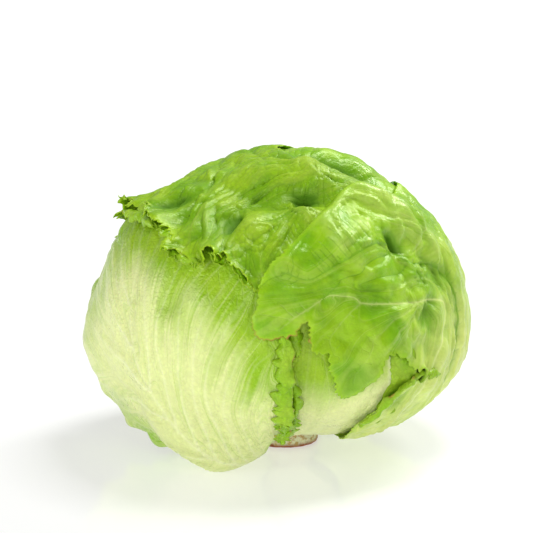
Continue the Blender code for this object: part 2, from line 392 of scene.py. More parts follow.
def folds(*rows: tuple) -> tuple[Fold, ...]:
    """Folds by their rows: a height and a width in millimetres, and then the places."""
    return tuple(Fold(tuple(places), height * MM, width * MM) for height, width, *places in rows)


# From the innermost to the outermost: each lies on those before it
LEAVES = (
    LeafPlan(
        "leaf_back_right", (48, 5), (95, 12),
        ((105, -50), (112, -20), (114, 15), (118, 50), (150, 74), (-110, 72), (-62, 56),
         (-26, 36), (-12, 10), (-5, -20), (3, -50)),
        3 * MM, 30 * MM, Hue.WRAPPER, (54, -76), (70 * MM, 190 * MM),
        Skin(wrinkle=0.8 * MM, valley=0.8 * MM, rib=0.3 * MM),
        veins=(
            Vein(((52, -66), (50, -30), (50, 20), (60, 50), (100, 72)), 1.0, 0.3),
            Vein(((35, -64), (24, -20), (14, 12), (0, 36), (-30, 50)), 0.8, 0.3),
            Vein(((72, -64), (86, -20), (95, 20), (100, 45)), 0.8, 0.3),
            Vein(((50, -10), (36, 20), (20, 45), (-20, 62)), 0.6, 0.3),
            Vein(((50, -20), (68, 10), (78, 40), (110, 60)), 0.6, 0.3),
        ),
    ),
    LeafPlan(
        "leaf_back_left", (168, 0), (215, 140),
        ((215, -45), (222, -15), (220, 20), (200, 46), (165, 52), (130, 40), (116, 10),
         (118, -20), (130, -50)),
        3 * MM, 30 * MM, Hue.PALE, (178, -76), (60 * MM, 170 * MM),
        Skin(wrinkle=0.6 * MM, valley=0.3 * MM, rib=0.4 * MM, pull=1.0),
        veins=(
            Vein(((178, -66), (174, -30), (168, 10), (165, 42)), 1.0, 0.3),
            Vein(((195, -60), (202, -20), (205, 15), (196, 36)), 0.8, 0.3),
            Vein(((158, -60), (142, -22), (132, 12), (135, 34)), 0.8, 0.3),
            Vein(((174, -30), (187, 0), (188, 34)), 0.6, 0.3),
            Vein(((174, -30), (154, 0), (150, 34)), 0.6, 0.3),
        ),
    ),
    LeafPlan(
        "leaf_inner_front", (-72, -12), (-28, -112),
        ((-22, -55), (-34, -30), (-38, -5), (-45, 18), (-65, 32), (-92, 34), (-114, 22),
         (-120, -5), (-119, -35), (-114, -58)),
        2 * MM, 26 * MM, Hue.INNER, (-60, -76), (30 * MM, 110 * MM),
        Skin(wrinkle=0.4 * MM, tooth=2.2 * MM, frill=0.6 * MM),
        veins=(
            Vein(((-52, -64), (-50, -44), (-47, -20), (-50, 5)), 0.8, 0.3),
            Vein(((-42, -60), (-42, -38), (-42, -16)), 0.6, 0.3),
            Vein(((-80, -60), (-80, -30), (-82, 0)), 0.6, 0.3),
        ),
    ),
    LeafPlan(
        "leaf_front", (-92, -10), (-56, -126),
        ((-57, -60), (-54, -46), (-54, -36), (-54, -26), (-55, -17), (-57, -6), (-60, 8),
         (-66, 24), (-88, 36), (-114, 34), (-127, 15), (-131, -10), (-130, -35), (-128, -58)),
        0.6 * MM, 30 * MM, Hue.FRONT, (-80, -76), (62 * MM, 98 * MM),
        Skin(
            wrinkle=0.3 * MM, blister=0.25 * MM, valley=0.1 * MM, rib=0.15 * MM, pull=1.2,
            vein_spacing=6 * MM, tooth=0.5 * MM, lobe=0.6 * MM, frill=0.15 * MM,
        ),
        veins=(
            Vein(((-70, -64), (-73, -40), (-76, -18), (-80, 0)), 0.5, 0.3, 0.4),
            Vein(((-64, -62), (-62, -40), (-61, -22), (-62, -8)), 0.5, 0.3, 0.4),
            Vein(((-78, -64), (-82, -40), (-85, -20), (-90, -2)), 0.5, 0.3, 0.4),
        ),
        pallors=shares((-57, -22, 0.9, 7), (-58, -38, 0.5, 8), (-84, -2, -0.4, 8)),
    ),
    LeafPlan(
        "leaf_left_wrapper", (-132, -10), (-108, -150),
        ((-105, -60), (-97, -46), (-89, -36), (-88, -26), (-89, -12), (-90, 4), (-96, 22),
         (-112, 36), (-142, 42), (-166, 37), (-182, 28), (-190, 14), (-190, -6), (-184, -25),
         (-175, -39), (-160, -46), (-148, -54), (-148, -64)),
        3.5 * MM, 24 * MM, Hue.PALE, (-112, -56), (70 * MM, 185 * MM),
        Skin(
            wrinkle=0.8 * MM, wrinkle_width=5.5 * MM, wrinkle_length=70 * MM, blister=0.2 * MM,
            pucker=0.12 * MM, valley=0.0, rib=0.35 * MM, pull=1.8, vein_spacing=3.4 * MM,
            frill=1.2 * MM,
        ),
        flow=(15, 13, 12, 9, 10, 11, 0, 1, 2, 3, 4, 5, 6, 7, 8, 14),
        swells=swells(
            (-89, -12, 2.5, 8), (-87, -30, 2.5, 8), (-178, 26, 2.5, 9), (-176, -16, 5.1, 10),
            (-168, -40, 8.5, 13), (-154, -56, 6.7, 10), (-116, -49, 13.5, 8), (-130, -39, 8.8, 9),
            (-138, -28, 2, 10), (-145, 2, 4.5, 20), (168, -15, 7.8, 14),
        ),
        veins=(
            Vein(((-96, -60), (-106, -50), (-118, -41), (-126, -33), (-134, -20), (-139, -8),
                  (-142, 4), (-145, 16), (-153, 27), (-158, 36)), 1.0, 0.5),
            Vein(((-134, -20), (-133, -7), (-135, 5), (-139, 17), (-140, 34)), 0.7, 0.4),
            Vein(((-127, -32), (-128, -14), (-130, -2), (-129, 8), (-127, 16), (-125, 30)),
                 0.7, 0.4),
            Vein(((-121, -38), (-123, -19), (-122, -6), (-122, 7), (-119, 16), (-112, 26)),
                 0.7, 0.4),
            Vein(((-116, -42), (-119, -25), (-118, -11), (-116, 0), (-113, 8), (-107, 18)),
                 0.7, 0.4),
            Vein(((-110, -47), (-115, -22), (-113, -10), (-108, 1), (-104, 8), (-100, 14)),
                 0.8, 0.4),
            Vein(((-106, -50), (-110, -25), (-106, -12), (-102, -4), (-96, 3)), 0.6, 0.3),
            Vein(((-101, -54), (-105, -28), (-102, -18), (-99, -9), (-94, -4)), 0.6, 0.3),
            Vein(((-98, -57), (-100, -34), (-97, -22), (-92, -14)), 0.5, 0.3),
            Vein(((-134, -20), (-145, -14), (-158, -10), (-168, -7), (-182, -4)), 0.6, 0.3),
            Vein(((-139, -8), (-147, -3), (-155, 3), (-163, 9), (-176, 14)), 0.6, 0.3),
            Vein(((-142, 4), (-152, 12), (-163, 20), (-174, 25)), 0.6, 0.3),
            Vein(((-130, -28), (-140, -26), (-152, -27), (-164, -30), (-174, -32)), 0.6, 0.3),
            Vein(((-118, -41), (-132, -41), (-146, -44), (-158, -44)), 0.5, 0.3),
            Vein(((-94, -56), (-92, -40), (-91, -25), (-91, -10), (-92, 3), (-96, 16)), 0.2, 0.1),
            Vein(((-112, -56), (-124, -52), (-138, -53), (-150, -52)), 0.3, 0.2),
        ),
        dents=swells((-126, 8, -1.2, 4), (-118, 9, 1.0, 4)),
        pallors=shares(
            (-140, -4, 0.35, 11), (-136, -22, 0.3, 10), (-118, 10, 0.3, 4), (-126, 6, -0.45, 5),
            (-92, 0, -0.5, 10), (-104, 10, -0.5, 8), (-112, 20, -0.6, 9), (-130, 26, -0.5, 8),
            (-150, 30, -0.6, 9), (-93, -14, -0.4, 6), (-104, -10, -0.1, 12), (-141, 8, 0.25, 9),
            (-131, -52, -0.12, 10), (-148, 14, 0.15, 8), (-172, -30, -0.3, 9),
            (-156, -44, -0.8, 9), (-119, -42, 0.5, 7), (-128, -32, 0.5, 6), (-134, -21, 0.4, 6),
            (-139, -8, 0.35, 6), (-142, 4, 0.3, 6),
        ),
        calm=shares(
            (-89, -12, 1.0, 9), (-89, -28, 1.0, 9), (-92, -42, 1.0, 9), (-90, 4, 1.0, 9),
        ),
    ),
    LeafPlan(
        "leaf_crown", (130, 50), (148, 72),
        ((140, -50), (148, -20), (158, 4), (170, 22), (-177, 30), (-162, 32), (-154, 33),
         (-147, 32), (-141, 30), (-135, 28), (-131, 27), (-132, 24), (-128, 22), (-122, 20),
         (-117, 20), (-115, 23), (-113, 24), (-111, 21), (-109, 23.5), (-107, 21), (-104, 18),
         (-101, 15), (-95, 13), (-80, 22), (-60, 32),
         (-38, 36), (-29, 34), (-33, 43), (-45, 55), (-62, 70), (110, 82), (76, 52),
         (68, 20), (66, -20), (68, -50)),
        3.5 * MM, 22 * MM, Hue.CROWN, (-44, 50), (45 * MM, 150 * MM),
        Skin(
            wrinkle=0.9 * MM, wrinkle_width=6.5 * MM, wrinkle_length=42 * MM, blister=0.4 * MM,
            pucker=0.35 * MM, valley=1.0 * MM, rib=0.1 * MM, pull=0.8, vein_spacing=4.0 * MM,
            tooth=2.0 * MM, lobe=4.0 * MM, frill=4.6 * MM,
        ),
        flow=(12, 13, 10, 9, 5, 4, 6, 7, 8, 0, 1, 2, 3),
        swells=swells((-40, 50, 3.5, 14), (-52, 68, 2, 12)),
        veins=(
            Vein(((-84, 45), (-97, 45), (-105, 45), (-111, 46), (-116, 42), (-117, 37),
                  (-115, 32)), 0.8, 0.5),
            Vein(((-86, 43), (-94, 39), (-100, 37), (-105, 33), (-104, 28)), 0.7, 0.4),
            Vein(((-85, 41), (-89, 38), (-94, 33), (-98, 29), (-104, 26)), 0.7, 0.4),
            Vein(((-84, 40), (-88, 35), (-91, 29), (-94, 23)), 0.7, 0.4),
            Vein(((-82, 72), (-130, 78), (-158, 72), (-139, 62), (-133, 48), (-136, 40),
                  (-132, 30)), 0.8, 0.5),
            Vein(((-165, 64), (-150, 56), (-141, 48), (-137, 40), (-133, 33)), 0.9, 0.5),
            Vein(((-84, 67), (-109, 68), (-118, 63), (-123, 56), (-127, 48), (-128, 40),
                  (-123, 31)), 0.8, 0.5),
            Vein(((-77, 62), (-95, 62), (-108, 58), (-118, 52), (-122, 45), (-124, 38)), 0.8, 0.5),
            Vein(((-69, 58), (-81, 57), (-94, 58), (-106, 53), (-111, 50)), 0.7, 0.4),
            Vein(((141, 58), (-172, 57), (-152, 45), (-149, 37), (-150, 32)), 0.8, 0.5),
            Vein(((150, 52), (-178, 48), (-167, 40), (-163, 33)), 0.7, 0.4),
            Vein(((108, -64), (108, -20), (108, 15), (110, 45), (130, 68), (-120, 74)), 1.0, 0.4),
            Vein(((116, -60), (128, -15), (140, 10), (158, 22)), 0.8, 0.3),
            Vein(((108, 5), (130, 32), (152, 46), (178, 42), (-168, 36)), 0.7, 0.3),
            Vein(((100, -60), (86, -15), (82, 15), (82, 48)), 0.8, 0.3),
            Vein(((109, 30), (125, 52), (165, 62), (-166, 63)), 0.7, 0.4),
        ),
        dents=swells(
            (-79, 50, -3.8, 5), (-82, 41, 1.8, 3), (-77, 41, 1.4, 3), (-87, 47, 1.4, 2.2),
            (-74, 56, 1.4, 4), (-147, 40, -1.8, 3), (-149, 36, -1.4, 2.5), (-144, 44, -1.4, 2.5),
            (-134, 35, -1.5, 2.5), (-113, 38, -2.0, 3.6), (-112, 34, -1.2, 3), (-99, 31, -0.8, 3),
            (-107, 52, -1.2, 4), (173, 47, -1.5, 3), (86, 58, -1.8, 7), (-152, 54, -1.4, 4),
            (-104, 35, 1.8, 3.2), (-126, 40, 1.4, 3.6), (-127, 33, 1.2, 3), (-151, 60, 1.2, 4),
            (-110, 64, 1.2, 5), (-130, 64, 1.0, 4), (-68, 66, 1.0, 6),
        ),
        folds=folds(
            (-1.8, 1.3, (-169, 63), (-153, 58), (-145, 53), (-139, 48)),
            (1.3, 1.4, (-172, 60), (-151, 56), (-142, 50), (-137, 44), (-135, 40), (-133, 34),
             (-131, 30)),
            (-1.6, 1.2, (-147, 44), (-147, 41), (-148, 37)),
            (-1.3, 1.0, (-143, 41), (-144, 39), (-144, 36)),
            (1.0, 1.2, (-155, 51), (-150, 46), (-148, 43), (-150, 40)),
            (-1.3, 1.2, (-138, 45), (-138, 41), (-138, 37), (-136, 33)),
            (-2.2, 2.2, (-111, 42), (-111, 38), (-112, 34), (-113, 31)),
            (1.2, 1.2, (-112, 46), (-117, 46), (-118, 44), (-120, 40), (-122, 36)),
            (1.2, 1.3, (-130, 46), (-130, 43), (-128, 40), (-125, 37), (-121, 32), (-119, 28)),
            (-1.2, 1.2, (-126, 45), (-125, 42), (-122, 38), (-118, 33)),
            (-1.4, 1.4, (-101, 56), (-107, 54), (-109, 52), (-112, 49)),
            (-1.1, 1.1, (-112, 73), (-124, 69), (-127, 63), (-129, 56), (-130, 50)),
            (0.9, 1.1, (-114, 67), (-120, 62), (-123, 56), (-125, 50)),
            (-1.1, 1.1, (-90, 63), (-102, 61), (-110, 59), (-117, 56), (-121, 51)),
            (0.8, 1.0, (-86, 60), (-98, 58), (-106, 56), (-113, 53)),
            (1.0, 1.2, (-151, 75), (-142, 67), (-137, 59), (-135, 51), (-133, 45)),
            (-0.9, 1.1, (-165, 72), (-151, 66), (-144, 59), (-140, 54)),
            (-0.9, 1.2, (-179, 52), (-166, 50), (-159, 45), (-156, 40)),
            (0.8, 1.2, (-179, 46), (-168, 44), (-160, 40), (-158, 36)),
            (-1.4, 1.8, (-100, 31), (-103, 30), (-105, 33)),
            (1.2, 0.9, (-105, 34), (-101, 36), (-97, 36), (-95, 33)),
            (1.0, 0.9, (-105, 30), (-103, 28), (-99, 27), (-96, 31)),
            (-0.9, 1.2, (-94, 37), (-96, 33), (-97, 29), (-98, 24)),
            (0.9, 1.2, (-90, 37), (-93, 31), (-95, 26), (-97, 21)),
            (-1.4, 1.4, (-107, 28), (-110, 26), (-112, 23)),
            (-1.4, 1.3, (-122, 30), (-125, 27), (-127, 24)),
            (1.2, 1.2, (-117, 27), (-119, 25), (-120, 22)),
            (1.0, 1.1, (-72, 64), (-71, 60), (-66, 56), (-62, 53), (-59, 50)),
            (-1.0, 1.0, (-68, 58), (-63, 55), (-60, 51)),
            (-2.6, 2.2, (-73, 50), (-77, 49), (-81, 47), (-84, 45)),
            (2.0, 0.8, (-87, 50), (-87, 46), (-86, 43), (-82, 41.5), (-78, 41)),
            (1.0, 1.0, (-81, 53), (-74, 55), (-67, 54), (-62, 51)),
        ),
        curls=(
            Curl((-149, 32), 5, 6 * MM, 110), Curl((-111, 24), 3, 4.5 * MM, 90),
            Curl((-174, 27), 6, 6 * MM, 130), Curl((-128, 25), 4, 5 * MM, 90),
            Curl((-104, 18), 3.5, 5 * MM, 90),
        ),
        calm=shares(
            (-45, 62, 1.0, 16), (80, 70, 1.0, 20), (-30, 42, 1.0, 12), (-60, 36, 0.9, 10),
            (78, 55, 0.6, 15), (-84, 21, 0.9, 7),
        ),
    ),
    LeafPlan(
        "leaf_right_wrapper", (-30, 5), (44, -34),
        ((52, -50), (56, -20), (54, 12), (38, 34), (5, 42), (-18, 35), (-32, 42), (-46, 48),
         (-60, 48), (-73, 40), (-84, 32), (-92, 24), (-98, 16), (-98, 10), (-99.5, 5),
         (-99, 1), (-95, 0), (-91, 0), (-87, 1.5), (-84, 5), (-82, -4), (-78, -5), (-76, -11),
         (-72, -20), (-64, -15), (-59, -9), (-55, -7), (-50, -12), (-45, -15), (-52, -17.5),
         (-57, -22), (-61.5, -30), (-63, -38), (-60, -48), (-46, -62)),
        2.2 * MM, 24 * MM, Hue.WRAPPER, (5, -76), (60 * MM, 128 * MM),
        Skin(
            wrinkle=0.8 * MM, wrinkle_width=6.5 * MM, wrinkle_length=34 * MM, blister=0.7 * MM,
            pucker=0.25 * MM, valley=0.7 * MM, rib=0.12 * MM, pull=0.5, vein_spacing=4.4 * MM,
            tooth=1.7 * MM, lobe=1.8 * MM, frill=0.8 * MM,
        ),
        flow=(12, 11, 10, 2, 1, 4, 3, 0, 7, 5, 6, 9),
        veins=(
            Vein(((-26, -66), (-40, -42), (-42, -26), (-36, -12), (-29, -4), (-26, 2), (-33, 5),
                  (-39, 6), (-43, 6), (-51, 7), (-59, 8), (-66, 9), (-69, 11), (-74, 12),
                  (-77, 12), (-81, 10), (-88, 6)), 1.0, 0.4, 0.7),
            Vein(((-14, -66), (-18, -42), (-20, -20), (-19, -8), (-19, 4), (-24, 14), (-31, 17),
                  (-38, 18), (-43, 20), (-46, 22), (-50, 26), (-55, 27), (-61, 26), (-69, 23),
                  (-76, 20), (-80, 18), (-84, 17), (-90, 19)), 1.0, 0.4, -0.3),
            Vein(((-5, -66), (-5, -40), (-7, -17), (-9, -2), (-6, 10), (-8, 20), (-16, 29),
                  (-30, 37), (-46, 43)), 1.0, 0.3),
            Vein(((-51, 23), (-59, 22), (-64, 20), (-66, 18), (-72, 17), (-74, 15), (-79, 11)),
                 0.5, 0.3, -0.2),
            Vein(((-43, 18), (-47, 16), (-54, 16), (-60, 16), (-66, 15)), 0.4, 0.3, -0.1),
            Vein(((-43, 6), (-49, 4), (-55, 3), (-60, 0), (-63, -2), (-64, -5), (-68, -12)),
                 0.6, 0.3),
            Vein(((-43, 6), (-45, 2), (-48, 0), (-51, -3), (-52, -7), (-52, -12)), 0.6, 0.3),
            Vein(((-66, 9), (-70, 7), (-74, 3), (-77, -1), (-76, -5)), 0.4, 0.2),
            Vein(((-24, 28), (-32, 24), (-34, 20), (-33, 18), (-36, 16), (-33, 12), (-26, 8),
                  (-22, 2)), 0.5, 0.4),
            Vein(((-33, -62), (-50, -38), (-53, -28), (-49, -20), (-43, -10), (-39, 0),
                  (-39, 6)), 0.7, 0.4),
            Vein(((10, -66), (8, -30), (5, -5), (6, 18), (8, 36)), 0.9, 0.3),
            Vein(((24, -66), (26, -30), (25, 0), (27, 30)), 0.8, 0.3),
            Vein(((36, -64), (42, -30), (42, 0), (40, 26)), 0.8, 0.3),
        ),
        dents=swells(
            (-58, 34, 0.7, 5), (-71, 41, 1.5, 4), (-59, 46, 1.2, 4), (-47, 42, 1.2, 4),
            (-35, 37, 1.2, 5), (-74, 33, 1.4, 3.5), (-72, 28, 1.2, 3), (-67, 22, 0.9, 3),
            (-63, 18, 0.8, 3), (-45, 25, -2.6, 2.4), (-47, 28, -1.6, 2.4), (-31, 17, -2.0, 2.4),
            (-25, 12, -1.8, 2.8), (-40, 0, -1.7, 2.5), (-36, 4, -1.5, 2), (-63, 13, -1.0, 1.8),
            (-60, 11, -1.0, 1.8), (-54, 10, -0.9, 1.6), (-80, 13, -1.0, 2.2),
            (-76, 24, -0.7, 1.6), (-61, 6, -0.5, 2), (-31, 27, 0.9, 3), (-24, 21, 0.9, 4),
            (-39, 31, 0.8, 3),
        ),
        folds=folds(
            (1.0, 1.2, (-60, 47), (-64, 45), (-69, 41), (-73, 39), (-78, 36), (-81, 33),
             (-84, 30), (-87, 26), (-91, 21), (-94, 18)),
            (1.6, 1.0, (-67, 41), (-62, 44), (-57, 44.5), (-53, 43), (-49, 41), (-45, 38)),
            (1.4, 1.1, (-67, 41), (-71, 38), (-71, 34), (-70, 31), (-68, 28)),
            (1.1, 1.0, (-68, 28), (-65, 27), (-61, 27), (-56, 27.5)),
            (-1.2, 2.6, (-67, 36), (-62, 37), (-56, 36), (-51, 34)),
            (1.5, 0.9, (-76, 35), (-74, 33), (-73, 30), (-72, 27), (-70, 23)),
            (-1.0, 1.4, (-78, 33), (-77, 30), (-75, 27)),
            (0.8, 1.0, (-68, 22), (-66, 20), (-64, 19), (-61, 17)),
            (2.0, 0.8, (-56, 28), (-52, 27), (-49, 24.5), (-47, 22), (-43, 20), (-40, 18)),
            (-2.2, 1.5, (-50, 30), (-46, 29), (-45, 26), (-43, 23)),
            (1.0, 1.0, (-41, 35), (-40, 30), (-42, 27), (-41, 23)),
            (1.0, 0.9, (-35, 18), (-31, 18), (-30, 15), (-34, 14), (-36, 17)),
            (-0.9, 1.1, (-38, 19), (-38, 15), (-36, 11), (-37, 8)),
            (0.8, 0.8, (-47, 3), (-44, 5), (-40, 5)),
            (0.9, 0.9, (-46, 2), (-46, -2), (-43, -4), (-39, -2)),
            (-1.3, 1.6, (-33, 38), (-30, 33), (-28, 28), (-28, 22)),
            (1.1, 1.2, (-28, 38), (-26, 32), (-25, 26), (-25, 20)),
            (1.0, 1.1, (-24, 24), (-24, 14), (-24, 4), (-24, -8), (-26, -20), (-30, -34)),
            (-0.9, 1.2, (-20, 26), (-20, 14), (-20, 2), (-20, -12), (-21, -26)),
            (0.9, 1.1, (-16, 26), (-16, 12), (-16, 0), (-16, -16), (-16, -32)),
            (0.5, 1.2, (-81, 22), (-76, 20), (-70, 17), (-64, 15)),
            (0.6, 1.3, (-72, 6), (-66, 3), (-62, -2), (-60, -6)),
            (-0.6, 1.3, (-62, 8), (-57, 5), (-54, 0), (-53, -6)),
        ),
        pallors=shares(
            (-20, 0, 0.4, 8), (-20, 22, 0.25, 8), (-42, -8, 0.25, 9), (-45, 12, 0.1, 9),
            (-42, 34, 0.1, 9), (2, 8, 0.5, 9), (-16, -13, 0.35, 6), (-27, -36, -0.35, 8),
        ),
        curls=(Curl((-42, -16), 5, 4.5 * MM, 120),),
        calm=shares(
            (-60, 48, 1.0, 12), (-30, 42, 1.0, 12), (0, 42, 1.0, 20), (38, 34, 0.8, 16),
            (-80, 34, 0.8, 7), (-98, 18, 0.6, 5), (-59, -33, 0.8, 9),
        ),
        browned=shares((-90, 0, 1.0, 4), (-97, 2, 0.6, 3)),
    ),
)

# The strips where a leaf's edge is folded or torn
RIBBONS = (
    Ribbon(
        "folded_hem", "leaf_left_wrapper",
        ((-91, 1), (-90, -3), (-90.5, -8), (-90, -13), (-90.5, -18), (-90, -23), (-90.5, -28),
         (-90, -32)),
        3.6 * MM, (4.2 * MM, 1.0 * MM), (1.0 * MM, 3.2 * MM, 2.4 * MM), 1.2 * MM,
    ),
    Ribbon(
        "hem_foot", "leaf_left_wrapper",
        ((-91, -26), (-90, -31), (-91, -35), (-92, -40)),
        2.6 * MM, (3.6 * MM, 3.4 * MM), (3.2 * MM, 2.4 * MM, 3.6 * MM), 1.8 * MM,
    ),
    Ribbon(
        "hem_frill", "leaf_front",
        ((-87.5, -14), (-86.5, -20), (-86.5, -27), (-86.5, -34), (-88, -42)),
        1.8 * MM, (0.5 * MM, 3.8 * MM), (2.2 * MM, 3.8 * MM, 2.8 * MM), 1.6 * MM,
    ),
    Ribbon(
        "notch_flap", "leaf_front",
        ((-88, 4), (-87, -1), (-86.5, -6)),
        2.6 * MM, (0.5 * MM, 1.6 * MM), (2.4 * MM, 3.0 * MM, 1.8 * MM), 1.0 * MM,
    ),
    Ribbon(
        "torn_flap", "leaf_inner_front",
        ((-52, -4), (-52, -9), (-52, -15), (-54, -21), (-56, -27), (-58, -34)),
        6.0 * MM, (0.5 * MM, 2.0 * MM), (1.4 * MM, 3.0 * MM, 5.2 * MM), 1.0 * MM,
    ),
    Ribbon(
        "torn_frill", "leaf_right_wrapper",
        ((-35, -17), (-41, -15.5), (-47, -16), (-53, -19), (-58, -25), (-62, -33)),
        1.7 * MM, (1.6 * MM, 3.0 * MM), (0.8 * MM, 2.4 * MM, 1.8 * MM), 1.6 * MM,
    ),
    Ribbon(
        "crown_lobe", "leaf_crown",
        ((-168, 29), (-161, 30), (-154, 31), (-148, 30.5), (-142, 29)),
        3.2 * MM, (3.0 * MM, 0.5 * MM), (2.0 * MM, 4.4 * MM, 1.2 * MM), 1.6 * MM,
    ),
    Ribbon(
        "crown_fringe", "leaf_crown",
        ((-142, 30), (-136, 28.5), (-132, 26.5), (-131, 24), (-127, 22), (-122, 20.5),
         (-117, 20.5)),
        1.8 * MM, (3.6 * MM, 0.4 * MM), (4.6 * MM, 2.6 * MM, 0.6 * MM), 2.2 * MM,
    ),
    Ribbon(
        "crown_curl", "leaf_crown",
        ((-116, 24), (-113, 23.5), (-111, 21), (-109, 23), (-106.5, 21), (-103.5, 17.5),
         (-100, 14.5)),
        1.5 * MM, (3.0 * MM, 0.4 * MM), (3.8 * MM, 2.2 * MM, 0.4 * MM), 1.8 * MM,
    ),
)

# The swellings and dips that every layer shares, because the leaves press on each other
SHARED_SWELLS = swells(
    (35, 56, 4, 16), (-6, 66, -4.5, 9), (0, 49, -5, 8), (4, 37, -3, 6), (-45, 20, -2.5, 9),
    (-37, 2, -2, 9), (-98, 40, -2.5, 10), (-70, 30, 2.5, 11), (-150, 50, 2, 12),
    (-120, 48, -2.5, 11), (110, 30, 3, 18), (150, 10, -3, 16), (75, -10, 2.5, 16),
)


# The crest over the top and the hollow behind it, which every layer shares too, and by which the
# finish paints shade into the hollow
CREST_SWELLS = swells(
    (-74, 69, 1.6, 3), (-66, 63, 2.0, 3), (-58, 57, 2.0, 3), (-51, 50, 2.0, 3), (-43, 43, 1.8, 3),
    (-36, 37, 1.4, 3), (-60, 76, -2.0, 5), (-50, 66, -2.0, 5), (-40, 58, -2.0, 4.5),
    (-32, 49, -2.0, 4.5), (-28, 82, -3.0, 5), (-8, 77, -3.8, 4.5), (-4, 71, -4.0, 4),
    (-3, 66, -4.2, 4), (-3, 61, -4.0, 4), (-4, 56, -3.4, 4), (-4, 51, -2.6, 3.5),
    (-4, 46, -1.8, 3.5), (30, 72, 1.2, 4), (22, 64, 1.2, 4), (18, 56, 1.0, 4),
)


def side_radius(side: str, elevations: Array) -> Array:
    """The heart's radius on one side, on a smooth curve through its table."""
    table = np.pad(np.array(HEART_RADII[side]) * MM, 1, "reflect")
    place = (elevations + 90) / RADII_STEP
    low = np.clip(np.floor(place).astype(int), 0, len(table) - 4)
    return curve_value(*(table[low + k] for k in range(4)), place - low)


def rise(rays: Array, swells: tuple[Swell, ...]) -> Array:
    """The sum of some swells along these directions."""
    total = np.zeros(rays.shape[:-1])
    for swell in swells:
        angles = angles_from(rays, swell.place)
        total += swell.height * np.exp(-0.5 * (angles / swell.reach) ** 2)
    return total


def heart_radius(rays: Array) -> Array:
    """The distance from the head's centre to the heart's surface."""
    elevations = elevation_of(rays)
    level = np.maximum(np.hypot(rays[..., 0], rays[..., 1]), TINY)
    right_share = (rays[..., 0] / level) ** 2
    right, left, back, front = (
        side_radius(side, elevations) for side in ("right", "left", "back", "front")
    )
    across = np.where(rays[..., 0] > 0, right, left)
    along = np.where(rays[..., 1] > 0, back, front)
    swells = rise(rays, SHARED_SWELLS) + rise(rays, CREST_SWELLS)
    return right_share * across + (1 - right_share) * along + swells


